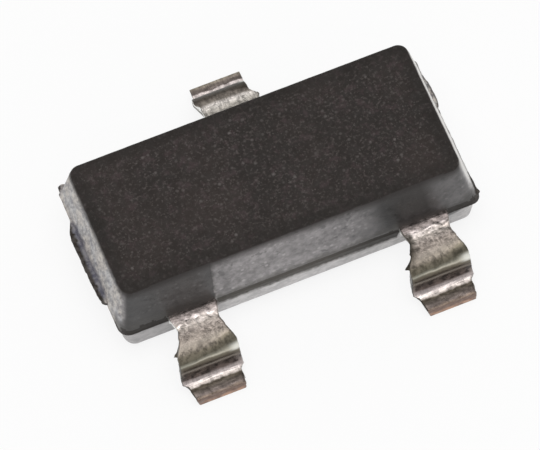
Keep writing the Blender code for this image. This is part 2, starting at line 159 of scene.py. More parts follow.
# Burrs left by the shear on an edge, in millimetres, as (start, sharp end, reach, height share)
LEFT_BURRS = {
    "pin_1_lead": ((0.205, 0.288, 0.033, 0.1),),
    "pin_2_lead": ((0.190, 0.214, 0.014, 0.4), (0.222, 0.300, 0.034, 0.0)),
    "pin_3_lead_and_pad": (),
}
RIGHT_BURRS = {
    "pin_1_lead": ((0.700, 0.742, 0.010, 0.2),),
    "pin_2_lead": ((0.690, 0.728, 0.012, 0.2),),
    "pin_3_lead_and_pad": ((0.150, 0.205, 0.022, 0.2),),
}

# Finishes of the resin as (name, refraction, roughness from and to): the top, the walls and the breaks
RESIN_FINISHES = (
    ("matt_resin_top", 1.42, 0.72, 0.86),
    ("moulded_resin_walls", 1.47, 0.32, 0.46),
    ("rough_broken_resin", 1.36, 0.62, 0.78),
)

# Painted reflection and shade on the front wall: how pale it is along its length, dark where it mirrors
# pins 1 and 2 and towards its ends, as (place in millimetres, share of the wall's colour)
FRONT_WALL_PAINTED_LIGHT = (
    (-1.45, 0.12), (-1.30, 0.20), (-1.05, 0.24), (-0.70, 0.28), (-0.672, 0.30), (-0.664, 1.16),
    (-0.30, 1.18), (0.30, 0.98), (0.58, 0.74), (0.82, 0.10), (1.14, 0.08), (1.24, 0.34), (1.45, 0.46),
)
PAINTED_LIGHT_REACH = 1.5
PALEST_PAINTED_LIGHT = 1.2

# Painted reflections on the tin along the strip, as (place in millimetres, how bright)
FRONT_PAINTED_REFLECTIONS = (
    (0.000, (0.66, 0.60, 0.60)), (0.030, (0.56, 0.51, 0.51)), (0.050, (0.44, 0.40, 0.40)),
    (0.066, (0.92, 0.86, 0.85)), (0.080, (1.12, 1.05, 1.03)), (0.108, (1.12, 1.06, 1.02)),
    (0.130, (0.84, 0.79, 0.75)), (0.160, (0.90, 0.83, 0.79)), (0.190, (0.82, 0.75, 0.70)),
    (0.225, (0.72, 0.66, 0.61)), (0.255, (0.45, 0.42, 0.38)), (0.280, (0.64, 0.59, 0.52)),
    (0.300, (0.45, 0.42, 0.34)), (0.324, (0.26, 0.25, 0.20)), (0.337, (0.44, 0.44, 0.38)),
    (0.349, (1.00, 1.00, 0.88)), (0.358, (0.34, 0.32, 0.26)), (0.398, (0.17, 0.15, 0.125)),
    (0.410, (0.28, 0.26, 0.235)), (0.424, (0.38, 0.35, 0.32)), (0.436, (0.24, 0.215, 0.195)),
    (0.480, (0.32, 0.285, 0.275)), (0.530, (0.54, 0.49, 0.49)), (0.580, (0.90, 0.84, 0.86)),
    (0.615, (1.08, 1.02, 1.04)), (0.680, (1.34, 1.28, 1.26)), (0.697, (0.26, 0.23, 0.19)),
    (0.720, (0.155, 0.138, 0.122)), (0.745, (0.27, 0.24, 0.225)), (0.765, (0.42, 0.37, 0.36)),
    (0.790, (0.44, 0.355, 0.295)),
)
BACK_PAINTED_REFLECTIONS = (
    (0.000, (0.55, 0.52, 0.50)), (0.150, (0.60, 0.59, 0.56)), (0.180, (0.90, 0.89, 0.85)),
    (0.205, (1.24, 1.23, 1.20)), (0.228, (1.38, 1.36, 1.35)), (0.243, (0.66, 0.62, 0.58)),
    (0.262, (0.50, 0.46, 0.42)), (0.280, (0.17, 0.15, 0.13)), (0.330, (0.10, 0.09, 0.07)),
    (0.600, (0.16, 0.14, 0.12)), (0.644, (0.20, 0.18, 0.155)), (0.664, (0.95, 0.90, 0.90)),
    (0.686, (1.50, 1.43, 1.45)), (0.706, (1.40, 1.32, 1.34)), (0.716, (0.30, 0.265, 0.26)),
    (0.748, (0.42, 0.375, 0.345)), (0.775, (0.66, 0.62, 0.52)),
)
STRIP_REACH = 0.80
BRIGHTEST_PAINTED_REFLECTION = 1.50
PAINTED_HIGHLIGHT_LINE = 0.349

# Where the lamp stands, and the heights between which the sky turns from white to grey
KEY_DIRECTION = (-0.05, -0.12, 1.0)
KEY_DISTANCE = 0.060
HORIZON_HEIGHTS = (0.14, 0.34)


class RegulatorBodySettings(bpy.types.PropertyGroup):
    """Sizes and colours of the moulded body."""

    length: bpy.props.FloatProperty(
        name="Length", description="Length at the parting line",
        default=2.90 * MM, unit="LENGTH", precision=6)
    width: bpy.props.FloatProperty(
        name="Width", description="Width at the parting line",
        default=1.30 * MM, unit="LENGTH", precision=6)
    top: bpy.props.FloatProperty(
        name="Top", description="Seated height of the top", default=0.97 * MM, unit="LENGTH", precision=6)
    standoff: bpy.props.FloatProperty(
        name="Stand-off", description="Clear height under the body",
        default=0.07 * MM, unit="LENGTH", precision=6)
    parting: bpy.props.FloatProperty(
        name="Parting height", description="Height of the line where the mould halves meet",
        default=0.40 * MM, unit="LENGTH", precision=6)
    parting_centre: bpy.props.FloatProperty(
        name="Parting centre", description="How far the parting line sits off the axis along the length",
        default=0.016 * MM, unit="LENGTH", precision=6)
    top_rim: bpy.props.FloatProperty(
        name="Top rim radius", description="Rounding of the rim of the top",
        default=0.035 * MM, unit="LENGTH", precision=6)
    base_rim: bpy.props.FloatProperty(
        name="Base rim radius", description="Rounding of the rim of the base",
        default=0.025 * MM, unit="LENGTH", precision=6)
    side_draft: bpy.props.FloatProperty(
        name="Side draft", description="Slope of the long walls", default=radians(8.0), unit="ROTATION")
    top_colour: bpy.props.FloatVectorProperty(
        name="Top colour", description="Filled epoxy on the top", subtype="COLOR",
        default=(0.0220, 0.0170, 0.0150))
    # Paler than the top: partly the epoxy's own rough grey and partly a painted reflection of the pale
    # floor
    wall_colour_and_painted_sheen: bpy.props.FloatVectorProperty(
        name="Wall colour", description="Rough moulded epoxy on the walls", subtype="COLOR",
        default=(0.195, 0.183, 0.184))
    flash_colour: bpy.props.FloatVectorProperty(
        name="Flash colour", description="Thin broken resin on the parting line", subtype="COLOR",
        default=(0.0220, 0.0170, 0.0120))


class RegulatorLeadSettings(bpy.types.PropertyGroup):
    """Sizes and colours of the formed leads."""

    thickness: bpy.props.FloatProperty(
        name="Thickness", description="Thickness of the strip",
        default=0.12 * MM, unit="LENGTH", precision=6)
    width: bpy.props.FloatProperty(
        name="Width", description="Width of the strip", default=0.40 * MM, unit="LENGTH", precision=6)
    rise: bpy.props.FloatProperty(
        name="Rise", description="Top of the strip above the parting plane",
        default=0.04 * MM, unit="LENGTH", precision=6)
    bend_radius: bpy.props.FloatProperty(
        name="Bend radius", description="Inside radius of both bends",
        default=0.05 * MM, unit="LENGTH", precision=6)
    drop_angle: bpy.props.FloatProperty(
        name="Drop angle", description="Slope between the two bends",
        default=radians(82.0), unit="ROTATION")
    toe_span: bpy.props.FloatProperty(
        name="Toe span", description="Toe to toe across the package",
        default=2.46 * MM, unit="LENGTH", precision=6)
    foot_length: bpy.props.FloatProperty(
        name="Foot length", description="Flat length of a foot",
        default=0.12 * MM, unit="LENGTH", precision=6)
    edge_radius: bpy.props.FloatProperty(
        name="Edge radius", description="Rounding of the strip's long edges",
        default=0.014 * MM, unit="LENGTH", precision=6)
    tin_colour: bpy.props.FloatVectorProperty(
        name="Tin colour", description="Matt tin plating", subtype="COLOR", default=(0.62, 0.585, 0.555))
    # Dark colour of the sheared sides and burrs, also used for painted shade on a front lead's left side
    # below the upper bend
    burr_and_shade_colour: bpy.props.FloatVectorProperty(
        name="Rubbed colour", description="Tin darkened by the forming tool", subtype="COLOR",
        default=(0.115, 0.100, 0.078))
    copper_colour: bpy.props.FloatVectorProperty(
        name="Copper colour", description="Bare copper at the cut ends", subtype="COLOR",
        default=(0.46, 0.27, 0.18))


class RegulatorInsideSettings(bpy.types.PropertyGroup):
    """Colours of the parts inside the body."""

    silicon_colour: bpy.props.FloatVectorProperty(
        name="Silicon colour", description="Polished silicon", subtype="COLOR", default=(0.24, 0.26, 0.31))
    adhesive_colour: bpy.props.FloatVectorProperty(
        name="Adhesive colour", description="Cured silver-filled adhesive", subtype="COLOR",
        default=(0.52, 0.51, 0.48))
    gold_colour: bpy.props.FloatVectorProperty(
        name="Gold colour", description="Drawn gold wire", subtype="COLOR", default=(0.90, 0.62, 0.25))


class RegulatorStageSettings(bpy.types.PropertyGroup):
    """The floor, the light and the camera."""

    floor_size: bpy.props.FloatProperty(
        name="Floor size", description="Side of the floor", default=0.6, unit="LENGTH")
    floor_colour: bpy.props.FloatVectorProperty(
        name="Floor colour", description="Matt white floor", subtype="COLOR", default=(0.90, 0.90, 0.90))
    floor_shadow: bpy.props.FloatProperty(
        name="Floor shadow", description="Share of the floor's look that takes shadow",
        default=0.16, min=0.0, max=1.0, subtype="FACTOR")
    sky_strength: bpy.props.FloatProperty(
        name="Sky strength", description="Strength of the plain pale surroundings", default=0.50, min=0.0)
    key_power: bpy.props.FloatProperty(
        name="Key power", description="Power of the soft lamp overhead",
        default=0.019, min=0.0, unit="POWER")
    key_size: bpy.props.FloatProperty(
        name="Key size", description="Width of the soft lamp overhead", default=0.048, unit="LENGTH")
    camera_place: bpy.props.FloatVectorProperty(
        name="Camera place", description="Where the camera stands", subtype="TRANSLATION", precision=6,
        default=(-6.419 * MM, -17.613 * MM, 40.897 * MM))
    camera_right: bpy.props.FloatVectorProperty(
        name="Camera right", description="Direction across the picture", subtype="DIRECTION",
        default=(0.9246, -0.3806, -0.0182))
    camera_down: bpy.props.FloatVectorProperty(
        name="Camera down", description="Direction down the picture", subtype="DIRECTION",
        default=(-0.3532, -0.8382, -0.4156))
    lens: bpy.props.FloatProperty(
        name="Lens", description="Focal length in millimetres for a 36 mm sensor", default=389.49)


def smooth_step(low, high, value):
    """0 below low, 1 above high, and smooth between."""
    share = min(max((value - low) / (high - low), 0.0), 1.0)
    return share * share * (3 - 2 * share)


def lerp(start, finish, share):
    """Straight blend of two numbers."""
    return start + (finish - start) * share


def off_edge(u, v, fade):
    """0 on the edge of a square patch, and 1 further in than the fade."""
    return smooth_step(0.0, fade, min(u, v, 1 - u, 1 - v))


def follow_table(table, place):
    """Height of a broken line at a place, or None outside it; the table's places rise."""
    if place < table[0][0] or place > table[-1][0]:
        return None
    for (before, low), (after, high) in zip(table, table[1:]):
        if place <= after:
            return lerp(low, high, (place - before) / (after - before))
    return table[-1][1]


def grain(point, scale, shift=0.0):
    """Smooth noise at a point in millimetres, about -1 to 1."""
    x, y, z = (value * scale for value in point)
    return noise.noise(Vector((x + shift, y - shift, z + 0.5 * shift)))


def rough(point, scale, shift=0.0, octaves=3):
    """Noise with finer detail on top, about -1 to 1."""
    total = 0.0
    weight = 1.0
    for octave in range(octaves):
        total += weight * grain(point, scale * 2 ** octave, shift + 7.3 * octave)
        weight *= 0.5
    return total


def rounded_ring(corners, steps, arc_steps):
    """Points round a rectangle as (point, outward, side), each side with half of the arc at both its ends.

    A corner is (x, y, radius); the ring starts in the middle of the first corner's arc, on the -Y side.
    """
    ring = []
    for side in range(4):
        start, finish, count = corners[side], corners[(side + 1) % 4], steps[side]
        turn = Matrix.Rotation(side * pi / 2, 2)
        along = turn @ Vector((1.0, 0.0))
        outward = turn @ Vector((0.0, -1.0))
        first = Vector(start[:2]) + (along - outward) * start[2]
        last = Vector(finish[:2]) - (along + outward) * finish[2]
        for index in range(count):
            if index < arc_steps:
                angle = pi / 4 * (1 - index / arc_steps)
                point = first + (outward * cos(angle) - along * sin(angle)) * start[2]
            elif index > count - arc_steps:
                angle = pi / 4 * (index - count + arc_steps) / arc_steps
                point = last + (outward * cos(angle) + along * sin(angle)) * finish[2]
            else:
                share = (index - arc_steps) / (count - 2 * arc_steps)
                point = (first + outward * start[2]).lerp(last + outward * finish[2], share)
            ring.append((point, outward, side))
    return ring


def fill_end(points, ring, across, along, faces, shape):
    """Close a ring with a patch of quads spanned between its four sides."""
    count = 2 * (across + along)
    low = [ring[i] for i in range(across + 1)]
    right = [ring[across + j] for j in range(along + 1)]
    high = [ring[across + along + across - i] for i in range(across + 1)]
    left = [ring[(count - j) % count] for j in range(along + 1)]
    grid = [[0] * (along + 1) for _ in range(across + 1)]
    corner_a, corner_b = points[low[0]], points[low[across]]
    corner_c, corner_d = points[high[0]], points[high[across]]
    for i in range(across + 1):
        u = i / across
        for j in range(along + 1):
            v = j / along
            if j == 0:
                grid[i][j] = low[i]
            elif j == along:
                grid[i][j] = high[i]
            elif i == 0:
                grid[i][j] = left[j]
            elif i == across:
                grid[i][j] = right[j]
            else:
                sides = points[low[i]].lerp(points[high[i]], v) + points[left[j]].lerp(points[right[j]], u)
                corners = corner_a.lerp(corner_b, u).lerp(corner_c.lerp(corner_d, u), v)
                grid[i][j] = len(points)
                points.append(shape(sides - corners, u, v))
    for i in range(across):
        for j in range(along):
            faces.append((grid[i][j], grid[i + 1][j], grid[i + 1][j + 1], grid[i][j + 1]))


def shell_mesh(name, rings, across, along, first_shape, last_shape):
    """A closed mesh through rings with equal counts, in millimetres, ended by quad patches."""
    points = []
    faces = []
    rows = []
    for ring in rings:
        rows.append(list(range(len(points), len(points) + len(ring))))
        points.extend(ring)
    count = len(rows[0])
    for lower, upper in zip(rows, rows[1:]):
        for index in range(count):
            after = (index + 1) % count
            faces.append((lower[index], lower[after], upper[after], upper[index]))
    last_faces = []
    first_faces = []
    fill_end(points, rows[0], across, along, first_faces, first_shape)
    fill_end(points, rows[-1], across, along, last_faces, last_shape)
    faces += [tuple(reversed(face)) for face in first_faces] + last_faces
    mesh = bpy.data.meshes.new(name)
    mesh.from_pydata([point * MM for point in points], [], faces)
    mesh.update()
    mesh.shade_smooth()
    return mesh


def add_piece(name, mesh, materials, replaced, sharp):
    """Put a mesh in the scene as a piece that rides on the body and stands for a node."""
    piece = bpy.data.objects.new(name, mesh)
    collection = bpy.data.collections.get(COLLECTION_NAME)
    if collection is None:
        collection = bpy.data.collections.new(COLLECTION_NAME)
        bpy.context.scene.collection.children.link(collection)
    collection.objects.link(piece)
    for material in materials:
        mesh.materials.append(material)
    mesh.set_sharp_from_angle(angle=sharp)
    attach(piece, "root")
    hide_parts(replaced)


class NodeBench:
    """Adds and joins the nodes of one material or world."""

    def __init__(self, owner):
        self.tree = owner.node_tree
        self.tree.nodes.clear()

    def put(self, kind, inputs=None, **settings):
        """A node with its settings; inputs may be values or other nodes' sockets."""
        node = self.tree.nodes.new(kind)
        for key, value in settings.items():
            setattr(node, key, value)
        for key, value in (inputs or {}).items():
            self.feed(node.inputs[key], value)
        return node

    def feed(self, socket, value):
        """Give a socket a value or a link."""
        if isinstance(value, bpy.types.NodeSocket):
            self.tree.links.new(value, socket)
        elif socket.type == "RGBA" and len(value) == 3:
            socket.default_value = (*value, 1.0)
        else:
            socket.default_value = value

    def maths(self, operation, first, second=0.0, clamp=False):
        """A number worked out from two others."""
        node = self.put("ShaderNodeMath", {0: first, 1: second}, operation=operation, use_clamp=clamp)
        return node.outputs[0]

    def times(self, first, *others):
        """Numbers multiplied."""
        for other in others:
            first = self.maths("MULTIPLY", first, other)
        return first

    def plus(self, first, *others):
        """Numbers added."""
        for other in others:
            first = self.maths("ADD", first, other)
        return first

    def minus(self, first, second):
        """One number taken from another."""
        return self.maths("SUBTRACT", first, second)

    def most(self, first, second):
        """The larger of two numbers."""
        return self.maths("MAXIMUM", first, second)

    def sway(self, place, scale, detail, reach):
        """Cloudy noise that goes as far below nought as above it."""
        return self.times(self.minus(self.noise(place, scale, detail), 0.5), reach)

    def tint(self, first, second):
        """Two colours multiplied."""
        return self.mix(1.0, first, second, "MULTIPLY")

    def span(self, value, low, high, to_low=0.0, to_high=1.0, smooth=True):
        """A number moved from one range to another and held at its ends."""
        inputs = {"Value": value, "From Min": low, "From Max": high, "To Min": to_low, "To Max": to_high}
        kind = "SMOOTHSTEP" if smooth else "LINEAR"
        node = self.put("ShaderNodeMapRange", inputs, interpolation_type=kind)
        return node.outputs["Result"]

    def mix(self, share, first, second, blend="MIX"):
        """Two colours mixed."""
        node = self.put("ShaderNodeMix", data_type="RGBA", blend_type=blend)
        self.feed(node.inputs[0], share)
        self.feed(node.inputs[6], first)
        self.feed(node.inputs[7], second)
        return node.outputs[2]

    def noise(self, place, scale, detail=2.0, roughness=0.5, distortion=0.0):
        """Cloudy noise from 0 to 1."""
        inputs = {"Vector": place, "Scale": scale, "Detail": detail, "Roughness": roughness,
                  "Distortion": distortion}
        return self.put("ShaderNodeTexNoise", inputs).outputs["Fac"]

    def cells(self, place, scale):
        """Distance to the nearest cell centre and the cell's own random colour."""
        node = self.put("ShaderNodeTexVoronoi", {"Vector": place, "Scale": scale})
        return node.outputs["Distance"], node.outputs["Color"]

    def place_mm(self):
        """The piece's own coordinates in millimetres."""
        coordinates = self.put("ShaderNodeTexCoord").outputs["Object"]
        return self.stretch(coordinates, (1 / MM,) * 3)

    def split(self, vector):
        """X, Y and Z of a vector."""
        return self.put("ShaderNodeSeparateXYZ", {0: vector}).outputs

    def join(self, x, y, z):
        """A vector of three numbers."""
        return self.put("ShaderNodeCombineXYZ", {0: x, 1: y, 2: z}).outputs[0]

    def stretch(self, vector, shares):
        """A vector with each of its axes multiplied by its own share."""
        node = self.put("ShaderNodeVectorMath", {0: vector, 1: shares}, operation="MULTIPLY")
        return node.outputs[0]

    def dot(self, vector, direction):
        """How far a vector reaches along a direction."""
        node = self.put("ShaderNodeVectorMath", {0: vector, 1: direction}, operation="DOT_PRODUCT")
        return node.outputs["Value"]

    def mark(self, name):
        """A number kept on the mesh's points."""
        return self.put("ShaderNodeAttribute", attribute_name=name).outputs["Fac"]

    def ramp(self, value, stops):
        """A colour that follows a value from 0 to 1 through stops of (place, colour)."""
        node = self.put("ShaderNodeValToRGB", {"Fac": value})
        elements = node.color_ramp.elements
        elements.remove(elements[1])
        elements[0].position = stops[0][0]
        elements[0].color = (*stops[0][1], 1.0)
        for position, colour in stops[1:]:
            elements.new(position).color = (*colour, 1.0)
        return node.outputs["Color"]

    def bump(self, height, distance):
        """A normal from a height, with its depth in millimetres."""
        inputs = {"Height": height, "Distance": distance * MM}
        return self.put("ShaderNodeBump", inputs).outputs[0]


def scaled(colour, share):
    """A colour made darker or paler."""
    return tuple(channel * share for channel in colour)


def new_material(name, shown):
    """An empty node material with a colour for the viewport."""
    material = bpy.data.materials.new(name)
    material.use_nodes = True
    material.diffuse_color = (*shown, 1.0)
    return material, NodeBench(material)


def finish_material(bench, colour, roughness, normal, metallic=0.0, ior=1.5):
    """Close a material with its shader."""
    inputs = {"Base Color": colour, "Roughness": roughness, "Metallic": metallic, "IOR": ior}
    shader = bench.put("ShaderNodeBsdfPrincipled", inputs)
    bench.feed(shader.inputs["Normal"], normal)
    output = bench.put("ShaderNodeOutputMaterial")
    bench.feed(output.inputs["Surface"], shader.outputs[0])


def resin_top(bench, place, settings):
    """Dark top with cloudy warmth and pale specks of filler; gives its colour and its specks."""
    red, green, blue = settings.top_colour
    x, y, _ = bench.split(place)
    cloud = bench.noise(place, 1.6, 3.0)
    colour = bench.mix(bench.span(cloud, 0.35, 0.65), (red * 0.80, green * 0.80, blue * 0.78),
                       (red * 1.20, green * 1.14, blue * 1.12))
    purple = bench.noise(place, 17.0, 3.0, 0.6)
    colour = bench.mix(bench.span(purple, 0.50, 0.70, 0.0, 0.55), colour, (0.052, 0.034, 0.036))
    fine = bench.noise(place, 40.0, 3.0, 0.7)
    colour = bench.mix(bench.span(fine, 0.50, 0.72, 0.0, 0.75), colour, (0.074, 0.062, 0.058))

    # The outer border is darker than the middle
    half_length = settings.length / MM / 2
    half_width = settings.width / MM / 2
    from_end = bench.minus(half_length - 0.09, bench.maths("ABSOLUTE", x))
    from_side = bench.minus(half_width - 0.09, bench.maths("ABSOLUTE", y))
    border = bench.span(bench.maths("MINIMUM", from_end, from_side), 0.13, 0.03, 0.0, 0.55)
    colour = bench.mix(border, colour, (red * 0.50, green * 0.50, blue * 0.45))

    # Grains of filler, large and few, and small and many
    crowd = bench.span(bench.noise(place, 3.6, 3.0), 0.40, 0.62, 0.18, 1.0)
    crowd = bench.times(crowd, bench.minus(1.0, bench.times(border, 1.2)))
    distance, cell = bench.cells(place, 22.0)
    chosen = bench.span(bench.split(cell)[0], 0.70, 0.95, 0.0, 0.50)
    speck = bench.times(bench.span(distance, 0.42, 0.06), chosen, crowd)
    distance, cell = bench.cells(place, 47.0)
    chosen = bench.span(bench.split(cell)[1], 0.60, 1.00, 0.0, 0.32)
    small = bench.times(bench.span(distance, 0.42, 0.12), chosen, crowd)
    speck = bench.most(speck, small)
    return bench.mix(speck, colour, (0.175, 0.158, 0.152)), speck


def resin_wall(bench, place, normal, settings, pin_gap):
    """Mottled walls, paler below the parting line and at the ends, partly as a painted reflection of the
    pale floor, with painted reflection and shade on the front wall; gives their colour and mottle.
    """
    x, y, z = bench.split(place)
    normal_x, normal_y, normal_z = bench.split(normal)
    parting = settings.parting / MM
    top = settings.top / MM
    mottle = bench.noise(place, 18.0, 4.0, 0.60, 0.15)
    coarse = bench.noise(place, 6.0, 2.0)
    tone = bench.plus(bench.span(mottle, 0.34, 0.66, 0.0, 0.66), bench.span(coarse, 0.35, 0.66, 0.0, 0.34))
    base = settings.wall_colour_and_painted_sheen
    wall = bench.mix(tone, scaled(base, 0.62), scaled(base, 1.46))
    distance, cell = bench.cells(place, 21.0)
    dots = bench.times(bench.span(distance, 0.42, 0.12),
                       bench.span(bench.split(cell)[0], 0.45, 0.80, 0.0, 0.55))
    wall = bench.mix(dots, wall, scaled(base, 2.2))
    pits = bench.span(bench.noise(place, 16.0, 2.0, 0.5), 0.63, 0.71, 0.0, 0.60)
    wall = bench.mix(pits, wall, scaled(base, 0.30))

    # Painted reflection and shade on the front wall: darker above pins 1 and 2, where it mirrors the leads,
    # and towards its ends
    wave = bench.sway(z, 5.0, 2.0, 0.03)
    slant = bench.times(bench.span(x, 0.2, 0.6), bench.times(z, 0.12))
    across = bench.maths("DIVIDE", bench.plus(x, wave, slant, PAINTED_LIGHT_REACH), 2 * PAINTED_LIGHT_REACH)
    stops = []
    for at, pale in FRONT_WALL_PAINTED_LIGHT:
        stops.append(((at + PAINTED_LIGHT_REACH) / (2 * PAINTED_LIGHT_REACH), (pale / PALEST_PAINTED_LIGHT,) * 3))
    front_painted_light = bench.ramp(across, stops)
    front = bench.span(normal_y, -0.60, -0.85)
    dark = bench.tint(wall, bench.tint(front_painted_light, (PALEST_PAINTED_LIGHT,) * 3))
    wall = bench.mix(front, wall, dark)

    # A dark band on the parting line, and the pale lower half, paler partly as a painted reflection of the
    # pale floor
    shade = bench.times(bench.split(front_painted_light)[0], front)
    reach = bench.span(shade, 0.35, 0.80, 0.150, 0.120)
    reach = bench.most(reach, bench.span(x, -0.66, -0.72, 0.0, 0.230))
    reach = bench.most(reach, bench.span(x, 1.10, 1.46, 0.0, 0.27, False))
    reach = bench.times(reach, bench.span(bench.noise(place, 20.0, 2.0), 0.35, 0.65, 0.85, 1.15))
    share = bench.maths("DIVIDE", bench.minus(z, parting), reach)
    seam = bench.times(bench.span(share, 1.0, 0.30), 0.92)
    gap_share = bench.times(bench.span(x, pin_gap[0] - 0.002, pin_gap[0] + 0.012),
                            bench.span(x, pin_gap[1] + 0.002, pin_gap[1] - 0.012))
    in_gap = bench.mix(bench.span(x, 0.10, 0.75), (0.076, 0.069, 0.060), (0.040, 0.036, 0.032))
    wall = bench.mix(seam, wall, bench.mix(gap_share, (0.034, 0.030, 0.027), in_gap))
    drop = bench.times(gap_share, bench.span(x, *pin_gap, *BREAK_DROPS, False))
    drop = bench.most(drop, bench.times(bench.span(x, 1.20, 1.23), bench.span(x, 1.25, 1.38, 0.055, 0.0)))
    flaked = bench.sway(place, 24.0, 3.0, 0.045)
    edge = bench.plus(z, bench.times(drop, front), flaked)
    lower = bench.mix(tone, (0.26, 0.25, 0.25), (0.50, 0.48, 0.48))
    lower = bench.mix(bench.times(dots, 0.6), lower, (0.62, 0.60, 0.60))
    middle = bench.times(bench.span(x, -0.90, -0.55, 0.95, 1.42), bench.span(x, -0.35, 0.35, 1.0, 0.84))
    lower = bench.tint(lower, middle)
    wall = bench.mix(bench.span(edge, parting - 0.006, parting - 0.052), wall, lower)

    # Pale ends with coarse grains and bluish patches, paler partly as a painted reflection of the pale
    # floor; a painted highlight makes the right one the palest
    grain_place = bench.join(x, y, bench.times(z, 0.62))
    slanted = bench.join(x, bench.dot(place, (0.0, 1.0, 0.40)), bench.times(z, 0.34))
    grains = bench.plus(bench.times(bench.noise(grain_place, 24.0, 4.0, 0.62), 0.40),
                        bench.times(bench.noise(slanted, 24.0, 4.0, 0.62), 0.60))
    bluish = bench.span(bench.noise(grain_place, 8.0, 3.0, 0.6), 0.42, 0.64)
    end = bench.mix(bluish, (0.430, 0.400, 0.372), (0.355, 0.352, 0.362))
    end = bench.tint(end, bench.mix(bench.span(grains, 0.40, 0.60), (0.46, 0.45, 0.48), (1.28, 1.27, 1.24)))
    # Painted shade, dark and bluish, on the left end about the gate remnant and above it
    gate_foot_shade = bench.times(bench.span(y, -0.36, -0.26), bench.span(y, 0.46, 0.30))
    gate_foot_shade = bench.times(gate_foot_shade, bench.span(x, 0.0, -1.0))
    torn = bench.plus(z, bench.times(bench.minus(grains, 0.5), 0.12))
    gate_foot_shade = bench.times(gate_foot_shade, bench.span(torn, parting + 0.150, parting + 0.040, 0.0, 0.80))
    gate_foot_shade = bench.times(gate_foot_shade, bench.span(z, parting - 0.030, parting - 0.010))
    end = bench.mix(gate_foot_shade, end, bench.mix(bench.span(grains, 0.40, 0.60), (0.085, 0.085, 0.120),
                                               (0.170, 0.168, 0.195)))
    # Painted highlight on the right end and its rim
    right = bench.span(normal_x, 0.58, 0.96)
    end = bench.mix(bench.times(right, 0.85), end, (0.84, 0.82, 0.79))
    flash_top = bench.span(bench.mark("broken_resin"), 0.01, 0.05)
    sloping = bench.times(bench.span(normal_z, 0.10, 0.45), bench.span(x, 0.0, -1.0))
    level = bench.most(bench.span(normal_z, 0.5, 0.8), sloping)
    flash_top = bench.times(flash_top, level)
    flat = bench.plus(bench.times(normal_x, normal_x), bench.times(normal_y, normal_y))
    sideways = bench.maths("DIVIDE", normal_x, bench.maths("SQRT", bench.plus(flat, 0.0004)))
    is_end = bench.most(bench.span(sideways, -0.80, -0.97), right)
    is_end = bench.most(is_end, flash_top)
    corner = bench.times(bench.span(y, -0.44, -0.54), seam)
    is_end = bench.times(is_end, bench.minus(1.0, corner))
    wall = bench.mix(is_end, wall, end)

    # A pale witness line by pin 1, the dull base, and painted shade on the rim that darkens softly into the
    # top
    near = bench.maths("ABSOLUTE", bench.minus(bench.plus(x, wave), -0.668))
    line = bench.times(bench.span(near, 0.014, 0.004), front)
    line = bench.times(line, bench.span(z, top - 0.10, parting + 0.05, 0.10, 0.90))
    line = bench.times(line, bench.span(mottle, 0.42, 0.60, 0.15, 1.0))
    wall = bench.mix(line, wall, (0.30, 0.28, 0.275))
    wall = bench.mix(bench.span(normal_z, -0.40, -0.80), wall,
                     bench.mix(tone, (0.040,) * 3, (0.085, 0.080, 0.078)))
    # Painted shade on the rounded rim, held off the right end so its painted highlight shows
    rim = bench.span(z, top - 0.150, top + 0.005, 0.0, 0.94)
    rim = bench.times(rim, bench.minus(1.0, bench.times(right, 0.85)))
    wall = bench.mix(rim, wall, scaled(settings.top_colour, 0.9))
    return wall, mottle


def moulding_material(settings, pin_gap, name, ior, smoothest, roughest):
    """Filled epoxy: a dark top with pale filler specks, and mottled walls made paler partly by a painted
    reflection of the pale floor.
    """
    material, bench = new_material(name, settings.top_colour)
    place = bench.place_mm()
    normal = bench.put("ShaderNodeNewGeometry").outputs["Normal"]
    top = settings.top / MM
    face, speck = resin_top(bench, place, settings)
    wall, mottle = resin_wall(bench, place, normal, settings, pin_gap)
    height = bench.split(place)[2]
    on_top = bench.times(bench.span(bench.split(normal)[2], 0.32, 0.72),
                         bench.span(height, top - 0.070, top - 0.035))
    on_top = bench.times(on_top, bench.span(bench.split(normal)[0], 0.80, 0.45))
    colour = bench.mix(on_top, wall, face)

    # Broken edges of the flash, dark where they are thin
    broken = bench.mix(bench.span(bench.noise(place, 26.0, 3.0), 0.40, 0.66), settings.flash_colour,
                       (0.066, 0.058, 0.052))
    ragged = bench.sway(place, 12.0, 2.0, 0.12)
    darkened = bench.span(bench.plus(bench.mark("broken_resin"), ragged), 0.20, 0.72)
    colour = bench.mix(darkened, colour, broken)

    grit = bench.noise(place, 60.0, 4.0, 0.65)
    relief = bench.plus(bench.times(mottle, 1.2), bench.times(grit, 0.8), bench.times(speck, 0.5))
    roughness = bench.plus(bench.span(mottle, 0.3, 0.7, smoothest, roughest),
                           bench.span(height, top - 0.12, top - 0.02, 0.0, max(0.75 - roughest, 0.0)))
    finish_material(bench, colour, roughness, bench.bump(relief, 0.0014), 0.0, ior)
    return material


